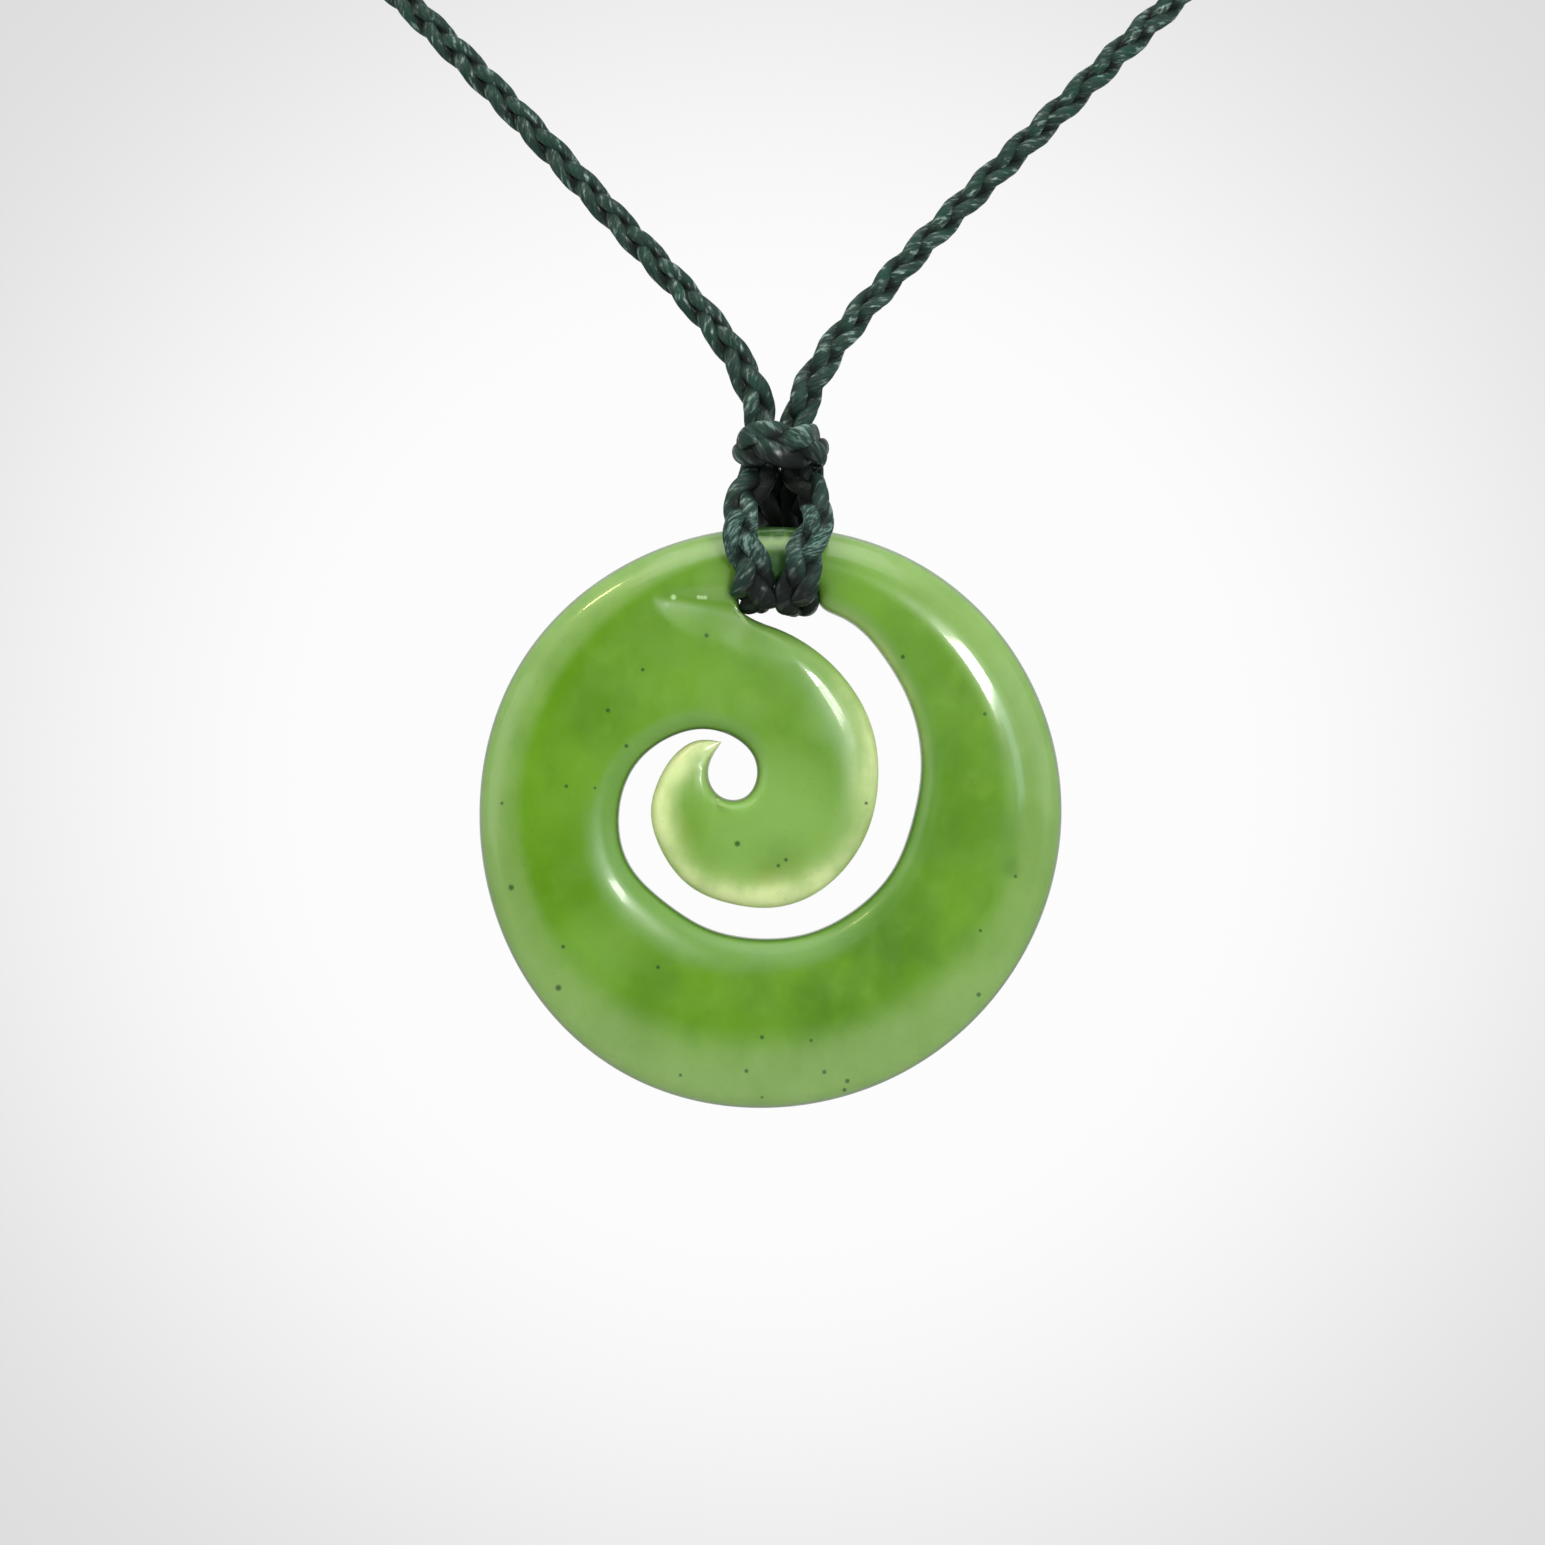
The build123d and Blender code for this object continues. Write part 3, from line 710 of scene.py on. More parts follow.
def plait_route():
    """Centre, broad and outward directions, length, spread and size at each station."""
    rows = cord_rows()
    places = np.array([row[0] for row in rows])
    facings = np.array([row[1].normalized() for row in rows])
    widths = np.array([row[2:] for row in rows], float)
    knots = chord_lengths(places)
    at = np.linspace(0, knots[-1], round(knots[-1] / STATION_STEP))
    centres, along = spline(knots, places, at)
    along /= np.linalg.norm(along, axis=1)[:, None]
    facing = np.stack([np.interp(at, knots, facings[:, i]) for i in range(3)], 1)
    broad = np.cross(facing, along)
    broad /= np.linalg.norm(broad, axis=1)[:, None]
    outward = np.cross(along, broad)
    spread = np.interp(at, knots, widths[:, 0])
    size = np.interp(at, knots, widths[:, 1])
    return centres + np.array(STONE_PLACE), broad, outward, at, spread, size


def strand_mesh(number, route):
    """One strand: a soft tube with the ridges of its twisted threads. Its flow is the place round
    and along its threads, and its exposure says how far out in the plait a point lies; the
    material paints shade where it is low."""
    centres, broad, outward, at, spread, size = route
    swing = 2 * math.pi * (at / PLAIT_PITCH + number / STRANDS)
    x = PLAIT_SWING * spread * size * np.sin(swing)
    y = PLAIT_WEAVE * size * np.sin(2 * swing)
    middle = centres + broad * x[:, None] + outward * y[:, None]
    around = np.arange(STRAND_SIDES) * 2 * math.pi / STRAND_SIDES
    twist = 2 * math.pi * at / PLY_PITCH
    ridge = np.abs(np.cos((around[None] - twist[:, None]) * PLIES / 2))
    bulge = (1 + PLY_RELIEF * (ridge - PLY_MEAN)) * size[:, None]
    wide = STRAND_WIDE * spread[:, None] * bulge * np.cos(around)
    deep = STRAND_DEEP * bulge * np.sin(around)
    rings = middle[:, None] + broad[:, None] * wide[..., None] + outward[:, None] * deep[..., None]
    across = (x[:, None] + wide) / ((PLAIT_SWING + STRAND_WIDE) * spread * size)[:, None]
    through = (y[:, None] + deep) / ((PLAIT_WEAVE + STRAND_DEEP) * size)[:, None]
    count = len(at)
    faces = ring_faces(count, STRAND_SIDES)
    faces.append(tuple(range(STRAND_SIDES))[::-1])
    faces.append(tuple(range((count - 1) * STRAND_SIDES, count * STRAND_SIDES)))
    mesh = bpy.data.meshes.new(f"cord_strand_{number + 1}_waxed")
    mesh.from_pydata(rings.reshape(-1, 3).tolist(), [], faces)
    turned = around[None] - twist[:, None]
    flow = np.stack([np.cos(turned), np.sin(turned), at[:, None] / MM + 0 * turned], 2)
    add_attribute(mesh, "flow", flow.reshape(-1, 3) + (0, 0, number * FIBRE_SHIFT))
    add_attribute(mesh, "exposure", np.hypot(across, through).ravel())
    return mesh


def join_mesh():
    """A barrel wound with thread, with a socket at each end for the plait."""
    half = JOIN_LENGTH / 2
    radius = JOIN_DIAMETER / 2
    profile = [(half - SOCKET_DEPTH, 0.0), (half - SOCKET_DEPTH, SOCKET_RADIUS)]
    profile += [(half, SOCKET_RADIUS), (half, radius - JOIN_ROUNDING)]
    for turn in np.linspace(0, math.pi / 2, JOIN_ROUNDING_RINGS + 1)[1:]:
        out = half - JOIN_ROUNDING + JOIN_ROUNDING * math.cos(turn)
        profile.append((out, radius - JOIN_ROUNDING + JOIN_ROUNDING * math.sin(turn)))
    side = np.arange(half - JOIN_ROUNDING, 0, -JOIN_SPACING)[1:]
    profile += [(x, radius) for x in side]
    profile += [(-x, r) for x, r in reversed(profile)]
    around = np.arange(JOIN_SIDES) * 2 * math.pi / JOIN_SIDES
    rings = []
    for x, r in profile:
        wound = r > radius - JOIN_ROUNDING
        groove = 1 - np.abs(np.cos(math.pi * x / WINDING + around / 2))
        reach = r - groove * WINDING_RELIEF * wound
        rings.append(np.stack([x + 0 * reach, reach * np.cos(around), reach * np.sin(around)], 1))
    points = np.concatenate(rings) + (0, radius, 0)
    mesh = bpy.data.meshes.new("nape_join_wound")
    mesh.from_pydata(points.tolist(), [], ring_faces(len(rings), len(around)))
    places = [(math.cos(t) * radius, math.sin(t) * radius, x) for x, _ in profile for t in around]
    flow = np.array(places) / MM
    add_attribute(mesh, "flow", flow)
    add_attribute(mesh, "exposure", np.ones(len(flow)))
    weld(mesh)
    return mesh


# The colour sockets of a mixing node
COLOUR_INPUTS = slice(6, 8)
COLOUR_OUTPUT = 2


def add_node(tree, kind, inputs=(), **settings):
    """A node whose inputs are linked or set, with its other settings."""
    made = tree.nodes.new("ShaderNode" + kind)
    for name, value in settings.items():
        setattr(made, name, value)
    for name, value in dict(inputs).items():
        feed(tree, made.inputs[name], value)
    return made


def feed(tree, socket, value):
    """Links a socket to another one, or sets it to a value."""
    if isinstance(value, bpy.types.NodeSocket):
        tree.links.new(value, socket)
    else:
        socket.default_value = value


def mix(tree, factor, a, b):
    """Colour a where the factor is 0 and b where it is 1."""
    made = add_node(tree, "Mix", {0: factor}, data_type="RGBA")
    for socket, colour in zip(made.inputs[COLOUR_INPUTS], (a, b)):
        feed(tree, socket, (*colour, 1) if isinstance(colour, tuple) else colour)
    return made.outputs[COLOUR_OUTPUT]


def ramp(tree, value, low, high, start=0.0, end=1.0):
    """A value stretched from low..high to start..end, smooth at both ends."""
    inputs = {"Value": value, "From Min": low, "From Max": high, "To Min": start, "To Max": end}
    return add_node(tree, "MapRange", inputs, interpolation_type="SMOOTHSTEP").outputs[0]


def maths(tree, operation, a, b):
    return add_node(tree, "Math", {0: a, 1: b}, operation=operation).outputs[0]


def times(tree, a, b):
    return maths(tree, "MULTIPLY", a, b)


def new_material(name, finish):
    """A material whose shader has these values on its own sockets."""
    material = bpy.data.materials.new(name)
    material.use_nodes = True
    tree = material.node_tree
    shader = tree.nodes["Principled BSDF"]
    for socket, value in finish.items():
        shader.inputs[socket].default_value = value
    return material, tree, shader


def noise(tree, coordinates, name):
    """One of the noises of the table."""
    cells, detail, stretch = NOISES[name]
    mapped = add_node(tree, "Mapping", {"Vector": coordinates, "Scale": stretch})
    inputs = {"Vector": mapped.outputs[0], "Scale": cells, "Detail": detail}
    return add_node(tree, "TexNoise", inputs).outputs[0]


# Noises of the materials. Columns: cells to the metre of the stone and the floor, or to the unit
# of the cord's flow, detail, stretch.
NOISES = {
    "clouds": (110, 5, (1, 1, 1)),
    "wisps": (60, 5, (1.6, 1, 0.7)),
    "veins": (420, 4, (1, 1, 0.75)),
    "grain": (2200, 2, (1, 1, 1)),
    "polish": (500, 3, (1, 1, 1)),
    "fibres": (3.2, 4, (1, 1, 0.22)),
    "patches": (0.5, 2, (1, 1, 1.2)),
    "wax_glint": (1.6, 3, (1, 1, 0.9)),
    "crumbs": (3.4, 3, (1, 1, 0.8)),
    "floor": (40, 3, (1, 1, 1)),
}

# Dark specks that show on the front. Columns: across, up (shares of the radius), size (share of
# the speck's radius).
SPECK_RADIUS = 0.0095  # share of the stone's radius
SPECK_CORE = 0.4  # where a speck is full, share of its radius
SPECK_END = 1.2  # and where it ends
SPECK_STRENGTH = 0.9
SPECKS = (
    (-0.883, -0.243, 1.2),
    (-0.722, -0.586, 1.3),
    (-0.489, 0.241, 0.9),
    (-0.552, 0.362, 0.9),
    (-0.433, 0.501, 0.8),
    (-0.694, 0.103, 0.8),
    (-0.596, 0.097, 0.6),
    (-0.110, -0.093, 1.2),
    (0.056, -0.148, 0.8),
    (0.030, -0.168, 0.8),
    (0.466, 0.355, 0.8),
    (0.455, 0.545, 0.9),
    (-0.026, -0.754, 0.9),
    (0.142, -0.765, 0.7),
    (-0.079, -0.870, 0.9),
    (0.187, -0.874, 0.9),
    (0.266, -0.905, 1.0),
    (0.256, -0.936, 0.9),
    (-0.026, -0.961, 0.6),
    (-0.305, -0.885, 0.7),
    (0.715, -0.610, 1.0),
    (0.840, -0.205, 0.7),
    (-0.215, 0.618, 1.0),
    (0.330, 0.045, 0.7),
    (0.735, 0.350, 0.8),
    (0.720, -0.390, 0.7),
    (-0.705, -0.445, 0.8),
    (-0.381, -0.515, 0.9),
    (-0.915, 0.045, 0.7),
)

# Broad tints of the stone: light, dark and olive. Columns: across, up, where the tint is full and
# where it ends (shares of the stone's radius), strength.
GLOWS = (
    (0.000, -0.040, 0.12, 0.42, 0.75),
    (0.160, 0.330, 0.00, 0.16, 0.45),
    (-0.200, 0.390, 0.02, 0.13, 0.3),
    (-0.060, 0.380, 0.02, 0.13, 0.35),
    (0.240, 0.120, 0.00, 0.18, 0.35),
    (-0.190, 0.800, 0.02, 0.12, 0.5),
    (0.000, 0.650, 0.10, 0.80, 0.22),
    (-0.580, -0.460, 0.02, 0.22, 0.35),
)
PATCHES = (
    (0.664, 0.423, 0.01, 0.06, 0.5),
    (0.830, -0.175, 0.01, 0.05, 0.6),
    (0.420, -0.420, 0.02, 0.30, 0.6),
    (0.200, -0.640, 0.02, 0.22, 0.7),
    (-0.370, -0.560, 0.01, 0.12, 0.5),
    (-0.040, -0.600, 0.01, 0.16, 0.5),
    (0.560, -0.060, 0.02, 0.16, 0.4),
    (0.640, -0.420, 0.01, 0.12, 0.4),
    (0.040, -0.150, 0.02, 0.14, 0.4),
    (0.600, 0.200, 0.02, 0.12, 0.25),
    (-0.600, 0.350, 0.02, 0.20, 0.25),
)
OLIVES = (
    (-0.005, -0.215, 0.010, 0.085, 0.75),
    (0.090, -0.190, 0.010, 0.090, 0.45),
    (-0.280, -0.050, 0.010, 0.090, 0.35),
)

# Painted shade under the hitch, and painted glints in the crease. The same columns.
SHADES = (
    (0.029, 0.860, 0.030, 0.085, 0.9),
    (0.020, 0.800, 0.020, 0.060, 0.9),
    (-0.015, 0.978, 0.015, 0.042, 0.85),
    (0.030, 0.976, 0.015, 0.042, 0.85),
    (0.075, 0.978, 0.015, 0.042, 0.85),
)
CREASE_GLINTS = (
    (-0.328, 0.749, 0.004, 0.013, 0.9),
    (-0.242, 0.749, 0.003, 0.010, 0.8),
    (-0.231, 0.748, 0.003, 0.010, 0.8),
    (-0.220, 0.748, 0.003, 0.010, 0.8),
)

# Where the arm's crest keeps its sharp gloss. The same columns.
CREST_GLOSS = ((0.112, 0.480, 0.040, 0.075, 1.0),)

# On the cord: painted shade inside the hitch between its front and back legs, painted shade under
# its crossbar and at the bottom of its legs, and painted sheen on the middle of the legs and the
# crossbar's top. The same columns.
HITCH_SHADE = ((0.045, 1.090, 0.100, 0.160, 1.0),)
SHADE_BEGINS = (-1.0, -0.8)  # from the stone's middle plane back, shares of the leg's offset
SHADE_ENDS = (1.0, 1.1)
CORD_SHADES = (
    (0.028, 0.700, 0.110, 0.200, 1.0),
    (-0.040, 1.215, 0.020, 0.075, 0.8),
    (0.020, 1.220, 0.025, 0.080, 0.9),
    (0.080, 1.220, 0.025, 0.080, 0.9),
    (0.140, 1.215, 0.020, 0.075, 0.8),
)
CORD_SHEEN_SPOTS = (
    (-0.110, 0.960, 0.050, 0.130, 0.8),
    (0.160, 0.960, 0.050, 0.130, 0.8),
    (0.100, 1.300, 0.010, 0.060, 0.5),
)

JADE = {
    "deep": (0.114, 0.292, 0.001),
    "leaf": (0.162, 0.378, 0.010),
    "wisp": (0.192, 0.395, 0.024),
    "dark_vein": (0.085, 0.250, 0.002),
    "light_vein": (0.215, 0.430, 0.035),
    "rim": (0.275, 0.450, 0.130),
    "slot": (0.175, 0.345, 0.085),
    "glow": (0.270, 0.485, 0.105),
    "patch": (0.062, 0.198, 0.004),
    "olive": (0.205, 0.320, 0.018),
    "milky_sheen": (0.255, 0.450, 0.170),
    "pale": (0.75, 0.86, 0.42),
    "grain": (0.10, 0.22, 0.02),
    "outline": (0.045, 0.11, 0.025),
    "shade": (0.022, 0.11, 0.018),
    "speck": (0.020, 0.095, 0.004),
    "glint": (0.55, 0.78, 0.38),
}
CORD = {
    "thread": (0.013, 0.030, 0.023),
    "fibre": (0.027, 0.072, 0.056),
    "patch": (0.010, 0.060, 0.040),
    "wax_glint": (0.18, 0.30, 0.26),
    "sheen": (0.17, 0.29, 0.26),
    "shaded": (0.009, 0.014, 0.013),
    "deep_shade": (0.004, 0.006, 0.005),
}

# What is the same all over the stone, the cord and the floor
JADE_FINISH = {
    "IOR": 1.61,
    "Specular IOR Level": 0.35,
    "Coat Roughness": 0.08,
    "Subsurface Weight": 0.6,
    "Subsurface Radius": (0.6, 1.0, 0.35),
    "Subsurface Scale": 1.6 * MM,
}
CORD_FINISH = {"Specular IOR Level": 0.15, "Coat Roughness": 0.3}
FLOOR_FINISH = {"Roughness": 0.8}

CORD_WAX = 0.8  # how strongly the wax's gloss and its painted glints show on the cord
JOIN_WAX = 0.25  # and on the join


def spot_mask(tree, place, spot):
    """1 within the spot's inner radius and 0 outside its outer one, right through the part."""
    across, up, inner, outer = (share * STONE_RADIUS for share in spot)
    flat = add_node(tree, "VectorMath", {0: place, 1: (1, 0, 1)}, operation="MULTIPLY").outputs[0]
    inputs = {0: flat, 1: (STONE_PLACE.x + across, 0, STONE_PLACE.z + up)}
    distance = add_node(tree, "VectorMath", inputs, operation="DISTANCE").outputs["Value"]
    return ramp(tree, distance, inner, outer, 1, 0)


def spots_mask(tree, place, spots):
    """The strongest of several spots at each place."""
    mask = None
    for *spot, strength in spots:
        one = times(tree, spot_mask(tree, place, spot), strength)
        mask = one if mask is None else maths(tree, "MAXIMUM", mask, one)
    return mask


def speck_spots():
    spots = []
    for across, up, size in SPECKS:
        radius = size * SPECK_RADIUS
        spots.append((across, up, radius * SPECK_CORE, radius * SPECK_END, SPECK_STRENGTH))
    return spots


def mark(tree, name):
    """A share that the mesh holds for each of its points."""
    return add_node(tree, "Attribute", attribute_name=name).outputs["Fac"]


def jade_body(tree, place, clouds, veins):
    """The stone's cloudy green with its broad tints, and the painted sheen on the rim's bevel and
    the slot's softened edge.
    """
    wisps = ramp(tree, noise(tree, place, "wisps"), 0.5, 0.75, 0, 0.5)
    colour = mix(tree, ramp(tree, clouds, 0.3, 0.7), JADE["deep"], JADE["leaf"])
    colour = mix(tree, wisps, colour, JADE["wisp"])
    colour = mix(tree, ramp(tree, veins, 0.52, 0.75, 0, 0.35), colour, JADE["dark_vein"])
    colour = mix(tree, ramp(tree, veins, 0.48, 0.25, 0, 0.35), colour, JADE["light_vein"])
    # Painted sheen: the bevel is lighter, as where it reflects the bright surroundings and lets
    # light through
    rim_band = times(tree, mark(tree, "rim_band"), ramp(tree, veins, 0.3, 0.7, 0.78, 0.58))
    colour = mix(tree, rim_band, colour, JADE["rim"])
    # Painted sheen: the slot's softened edge is paler and greyer, as where it reflects the bright
    # surroundings
    colour = mix(tree, ramp(tree, mark(tree, "slot_band"), 0, 1, 0, 0.5), colour, JADE["slot"])
    colour = mix(tree, spots_mask(tree, place, GLOWS), colour, JADE["glow"])
    cloudy = ramp(tree, veins, 0.3, 0.7, 0.35, 0.85)
    for spots, tint in ((PATCHES, "patch"), (OLIVES, "olive")):
        blurred = times(tree, spots_mask(tree, place, spots), cloudy)
        colour = mix(tree, blurred, colour, JADE[tint])
    return colour


def jade_edges(tree, colour, veins):
    """Milky stone with painted sheen and paleness where light comes through, towards the edges,
    and the dark line along them.
    """
    # Painted sheen and highlights on the milky bands
    milky_sheen = times(tree, mark(tree, "milky_sheen"), ramp(tree, veins, 0.25, 0.65, 0.55, 1.0))
    colour = mix(tree, milky_sheen, colour, JADE["milky_sheen"])
    pale = times(tree, mark(tree, "pale"), ramp(tree, veins, 0.3, 0.7, 0.72, 1.1))
    colour = mix(tree, ramp(tree, pale, 0, 1), colour, JADE["pale"])
    return mix(tree, ramp(tree, mark(tree, "outline"), 0, 1, 0, 0.75), colour, JADE["outline"])


def jade_spots(tree, colour, place):
    """Fine grain, painted shade under the hitch, dark specks and painted glints."""
    grain = noise(tree, place, "grain")
    colour = mix(tree, ramp(tree, grain, 0.6, 0.8, 0, 0.15), colour, JADE["grain"])
    # Painted shade under the hitch, dark specks, and painted glints in the crease
    for spots, tint in ((SHADES, "shade"), (speck_spots(), "speck"), (CREASE_GLINTS, "glint")):
        colour = mix(tree, spots_mask(tree, place, spots), colour, JADE[tint])
    return colour


def jade_material():
    """Polished green stone: cloudy, with painted sheen and milkiness towards its edges, and pale
    where light comes through its thin parts.
    """
    material, tree, shader = new_material("jade", JADE_FINISH)
    place = add_node(tree, "TexCoord").outputs["Object"]
    clouds = noise(tree, place, "clouds")
    veins = noise(tree, place, "veins")
    colour = jade_body(tree, place, clouds, veins)
    colour = jade_edges(tree, colour, veins)
    colour = jade_spots(tree, colour, place)
    tree.links.new(colour, shader.inputs["Base Color"])
    polish = noise(tree, place, "polish")
    tree.links.new(ramp(tree, polish, 0.3, 0.8, 0.28, 0.38), shader.inputs["Roughness"])
    blunt = maths(tree, "SUBTRACT", mark(tree, "slot_band"), spots_mask(tree, place, CREST_GLOSS))
    tree.links.new(ramp(tree, blunt, 0, 1, 0.8, 0.2), shader.inputs["Coat Weight"])
    waves = add_node(tree, "Bump", {"Height": clouds, "Strength": 0.15, "Distance": 0.2 * MM})
    tree.links.new(waves.outputs[0], shader.inputs["Normal"])
    return material


def hitch_shade(tree, place):
    """1 in the shaded inside of the hitch, between its front and back legs, and 0 elsewhere."""
    depth = add_node(tree, "SeparateXYZ", {0: place}).outputs["Y"]
    out = maths(tree, "DIVIDE", maths(tree, "SUBTRACT", depth, STONE_PLACE.y), LEG_OFFSET)
    between_legs = times(tree, ramp(tree, out, *SHADE_BEGINS), ramp(tree, out, *SHADE_ENDS, 1, 0))
    return times(tree, between_legs, spots_mask(tree, place, HITCH_SHADE))


def cord_material(name, wax_share):
    """Waxed dark green thread with fine fibres that run along it, painted glints and sheen, and
    painted shade between its strands.
    """
    material, tree, shader = new_material(name, CORD_FINISH)
    place = add_node(tree, "TexCoord").outputs["Object"]
    flow = add_node(tree, "Attribute", attribute_name="flow").outputs["Vector"]
    fibres = noise(tree, flow, "fibres")
    patches = noise(tree, flow, "patches")
    wax_glint = noise(tree, flow, "wax_glint")
    crumbs = noise(tree, flow, "crumbs")
    colour = mix(tree, ramp(tree, fibres, 0.3, 0.8), CORD["thread"], CORD["fibre"])
    colour = mix(tree, ramp(tree, patches, 0.45, 0.7, 0, 0.6), colour, CORD["patch"])
    # Painted glints: bright teal flecks where the wax shines
    colour = mix(tree, ramp(tree, wax_glint, 0.58, 0.70, 0, wax_share), colour, CORD["wax_glint"])
    # Painted sheen on the lit middle of the legs and the top of the crossbar
    sheen = times(tree, spots_mask(tree, place, CORD_SHEEN_SPOTS), ramp(tree, crumbs, 0.45, 0.68))
    colour = mix(tree, sheen, colour, CORD["sheen"])
    colour = mix(tree, spots_mask(tree, place, CORD_SHADES), colour, CORD["shaded"])
    # Painted shade: dark inside the hitch and towards the strands' sides, where they press on each
    # other
    lit = maths(tree, "SUBTRACT", 1.0, hitch_shade(tree, place))
    lit = times(tree, lit, ramp(tree, mark(tree, "exposure"), 0.45, 0.9, 0.12, 1.0))
    colour = mix(tree, lit, CORD["deep_shade"], colour)
    tree.links.new(colour, shader.inputs["Base Color"])
    tree.links.new(ramp(tree, wax_glint, 0.4, 0.7, 0.55, 0.25), shader.inputs["Roughness"])
    relief = add_node(tree, "Bump", {"Height": fibres, "Strength": 1.0, "Distance": 0.05 * MM})
    tree.links.new(relief.outputs[0], shader.inputs["Normal"])
    gloss = ramp(tree, wax_glint, 0.45, 0.65, 0, wax_share)
    tree.links.new(times(tree, gloss, lit), shader.inputs["Coat Weight"])
    return material


def add_camera():
    data = bpy.data.cameras.new("photo_camera")
    frame_width = PHOTO_PIXELS / PIXELS_PER_METRE
    data.lens = data.sensor_width * CAMERA_DISTANCE / frame_width
    camera = add_object("photo_camera", data)
    across = (PHOTO_PIXELS / 2 - STONE_PIXEL[0]) / PIXELS_PER_METRE
    up = (STONE_PIXEL[1] - PHOTO_PIXELS / 2) / PIXELS_PER_METRE
    camera.location = STONE_PLACE + Vector((across, -CAMERA_DISTANCE, up))
    camera.rotation_euler = (math.pi / 2, 0, 0)
    bpy.context.scene.camera = camera


# Lights round the stone. Columns: name, turn to the right from the camera's side and rise above it
# (degrees), distance, length towards the camera's axis, breadth (metres), power (watts), colour.
LIGHTS = (
    ("key", 18.6, 11.8, 0.85, 0.18, 0.07, 2.3, (1.0, 0.99, 0.96)),
    ("warm_window", -42.1, 41, 0.9, 0.05, 0.12, 0.7, (1.0, 0.95, 0.45)),
    ("sky", 24, 6, 0.9, 0.12, 0.20, 0.20, (0.60, 0.90, 1.0)),
    ("fill_left", -58, 10, 0.9, 0.5, 0.5, 0.6, (1.0, 1.0, 1.0)),
    ("fill_right", 55, 14, 0.9, 0.5, 0.5, 0.5, (0.85, 0.95, 1.0)),
    ("top", 0, 62, 0.8, 0.7, 0.7, 2.1, (1.0, 1.0, 1.0)),
)


def add_lights():
    for name, turn, rise, distance, length, breadth, power, colour in LIGHTS:
        data = bpy.data.lights.new(name, "AREA")
        data.shape = "RECTANGLE"
        data.size = length
        data.size_y = breadth
        data.energy = power
        data.color = colour
        lamp = add_object(name, data)
        turn = math.radians(turn)
        rise = math.radians(rise)
        away = Vector((
            math.sin(turn) * math.cos(rise),
            -math.cos(turn) * math.cos(rise),
            math.sin(rise),
        ))
        lamp.location = STONE_PLACE + away * distance
        roll = Quaternion((0, 0, 1), math.atan2(away.z, away.x))
        lamp.rotation_euler = (away.to_track_quat("Z", "Y") @ roll).to_euler()


# Backdrop and room. Each pair is where a change begins and where it ends.
BACKDROP_ANGLES = (3.0, 8.2)  # degrees from the middle of the view
BACKDROP_TONES = (0.975, 0.725)
ROOM_ANGLES = (115, 160)  # degrees from the same middle, where the room takes over
ROOM_LIGHT = 0.09  # the room's light, as a share of the backdrop's
ROOM_TONE = 0.65  # how bright the room looks
RISE = (0.2, 0.9)  # how far up or down a direction points
SKY_TONE = 1.35  # tone straight up, as a share of the backdrop's
GROUND_TONE = 0.6  # and straight down


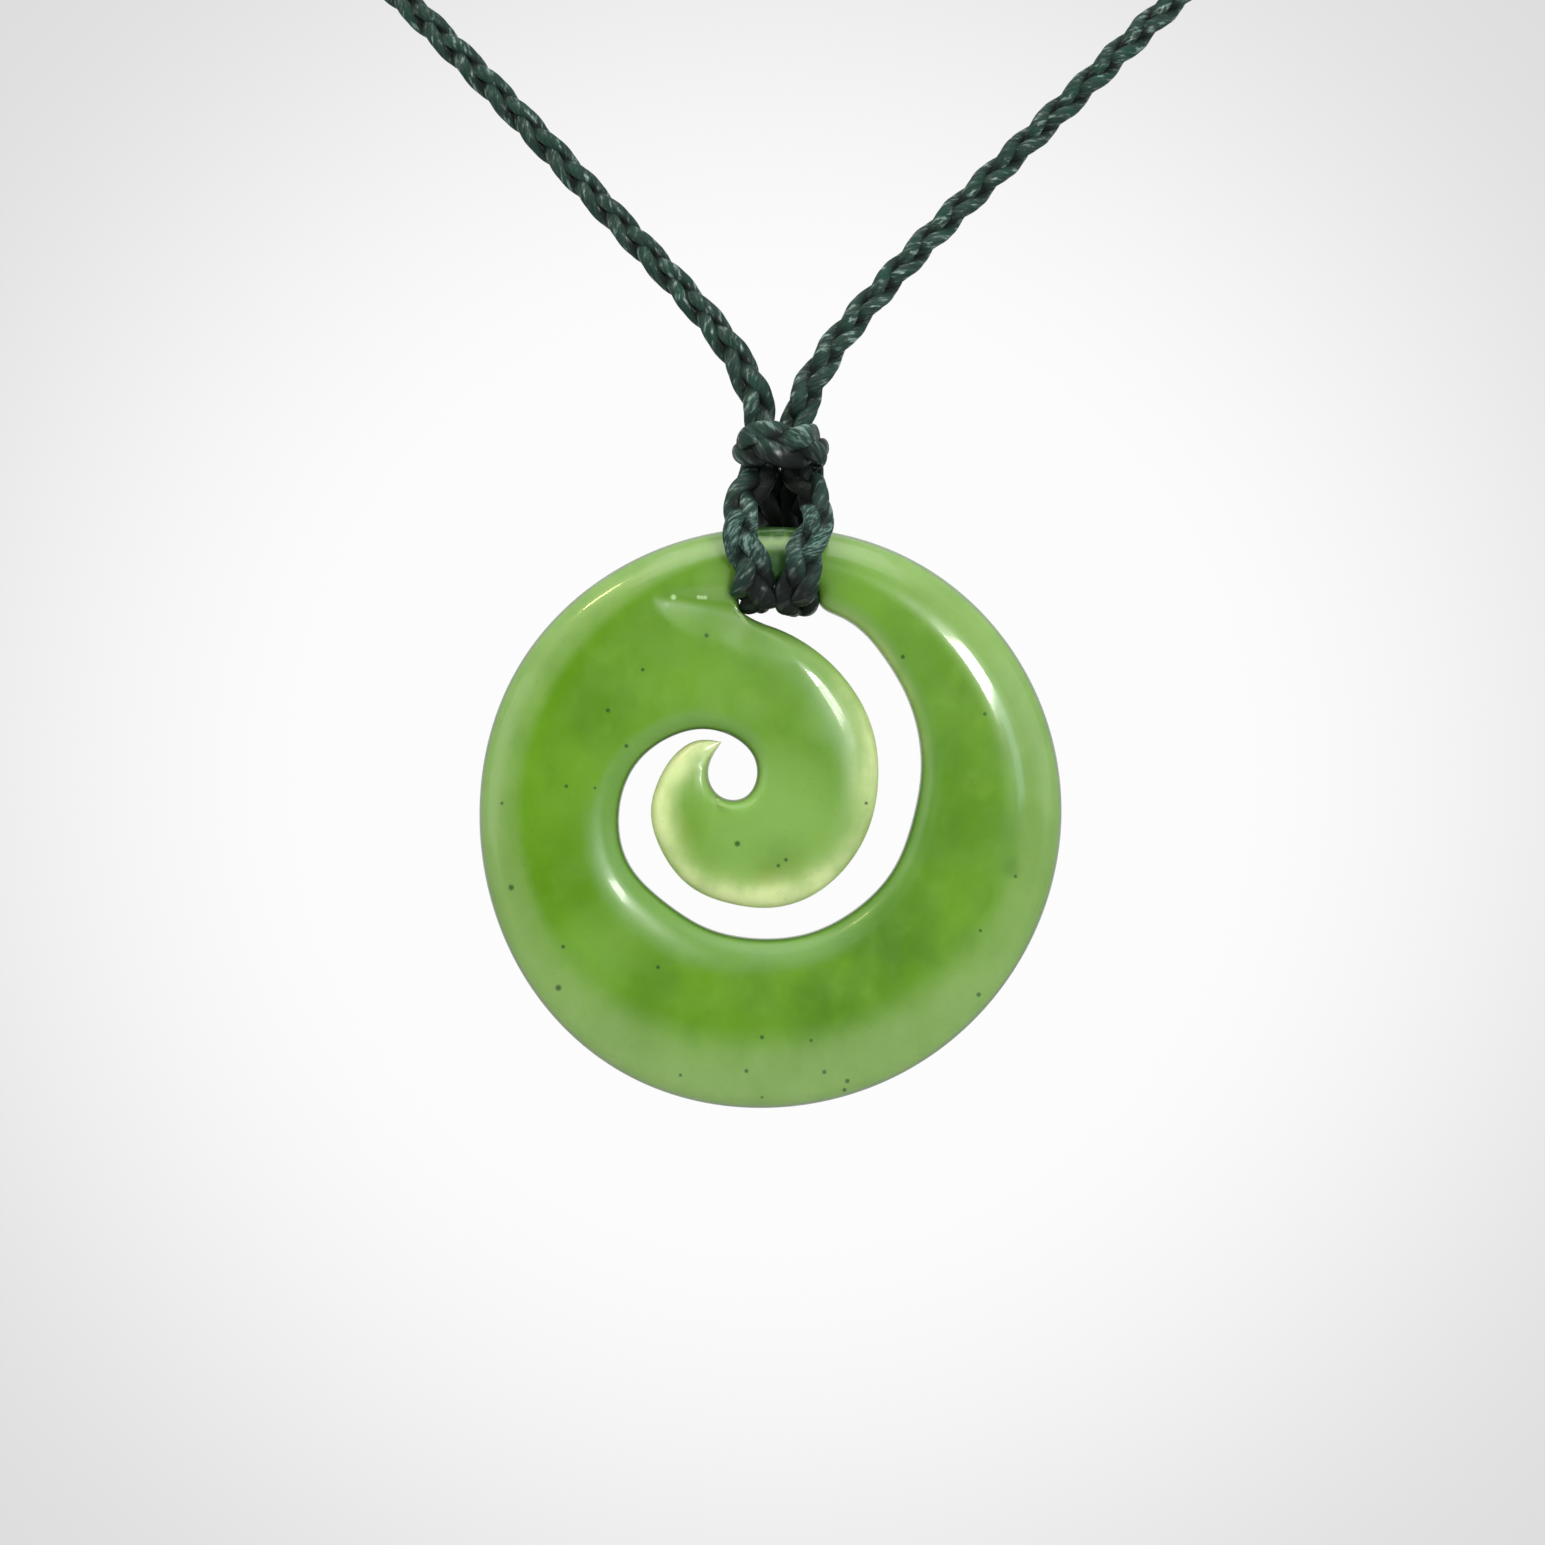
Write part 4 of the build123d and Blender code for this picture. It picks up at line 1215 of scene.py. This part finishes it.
def add_world():
    """A bright backdrop that greys away from the middle of the view. The room behind the camera
    gives less light, and shows as a plain grey."""
    world = bpy.data.worlds.new("studio")
    bpy.context.scene.world = world
    world.use_nodes = True
    tree = world.node_tree
    direction = add_node(tree, "TexCoord").outputs["Generated"]
    ahead = add_node(tree, "VectorMath", {0: direction, 1: (0, 1, 0)}, operation="DOT_PRODUCT")
    angle = maths(tree, "ARCCOSINE", ahead.outputs["Value"], 0)
    grey = ramp(tree, angle, *map(math.radians, BACKDROP_ANGLES), *BACKDROP_TONES)
    front = ramp(tree, angle, *map(math.radians, ROOM_ANGLES), 1.0, ROOM_LIGHT)
    seen = add_node(tree, "LightPath").outputs["Is Camera Ray"]
    front = maths(tree, "MAXIMUM", front, times(tree, seen, ROOM_TONE))
    height = add_node(tree, "SeparateXYZ", {0: direction}).outputs["Z"]
    sky = ramp(tree, height, *RISE, 1.0, SKY_TONE)
    ground = ramp(tree, height, -RISE[0], -RISE[1], 1.0, GROUND_TONE)
    light = times(tree, times(tree, grey, front), times(tree, sky, ground))
    colour = add_node(tree, "CombineColor", {"Red": light, "Green": light, "Blue": light})
    tree.links.new(colour.outputs[0], tree.nodes["Background"].inputs["Color"])


FLOOR_DROP = 0.40  # from the origin down to the floor
FLOOR_RADIUS = 1.9
FLOOR_FADE = 0.5  # how far from the middle the floor begins to fade
FLOOR_TONES = (0.55, 0.58)


def add_floor():
    """A pale floor under the hanging pendant. It fades into the backdrop at its edge."""
    mesh = bpy.data.meshes.new("floor")
    sides = ((-1, -1), (1, -1), (1, 1), (-1, 1))
    corners = [(x * FLOOR_RADIUS, y * FLOOR_RADIUS, -FLOOR_DROP) for x, y in sides]
    mesh.from_pydata(corners, [], [(0, 1, 2, 3)])
    material, tree, shader = new_material("pale_floor", FLOOR_FINISH)
    place = add_node(tree, "TexCoord").outputs["Object"]
    flat = add_node(tree, "VectorMath", {0: place, 1: (1, 1, 0)}, operation="MULTIPLY").outputs[0]
    away = add_node(tree, "VectorMath", {0: flat}, operation="LENGTH").outputs["Value"]
    greys = [(tone, tone, tone) for tone in FLOOR_TONES]
    colour = mix(tree, ramp(tree, noise(tree, place, "floor"), 0.3, 0.7), *greys)
    tree.links.new(colour, shader.inputs["Base Color"])
    tree.links.new(ramp(tree, away, FLOOR_FADE, FLOOR_RADIUS, 1, 0), shader.inputs["Alpha"])
    mesh.materials.append(material)
    floor = add_object("floor", mesh)


bpy.context.scene.view_settings.view_transform = "Standard"
add_camera()
add_world()
add_lights()
add_floor()

stone = make_piece("koru_stone_carved", stone_mesh(), jade_material(), "koru_stone")
waxed = cord_material("waxed_cord", CORD_WAX)
ROUTE = plait_route()
for number in range(STRANDS):
    name = f"cord_strand_{number + 1}"
    strand = make_piece(name + "_waxed", strand_mesh(number, ROUTE), waxed, name)
wound = cord_material("wound_thread", JOIN_WAX)
join = make_piece("nape_join_wound", join_mesh(), wound, "nape_join")
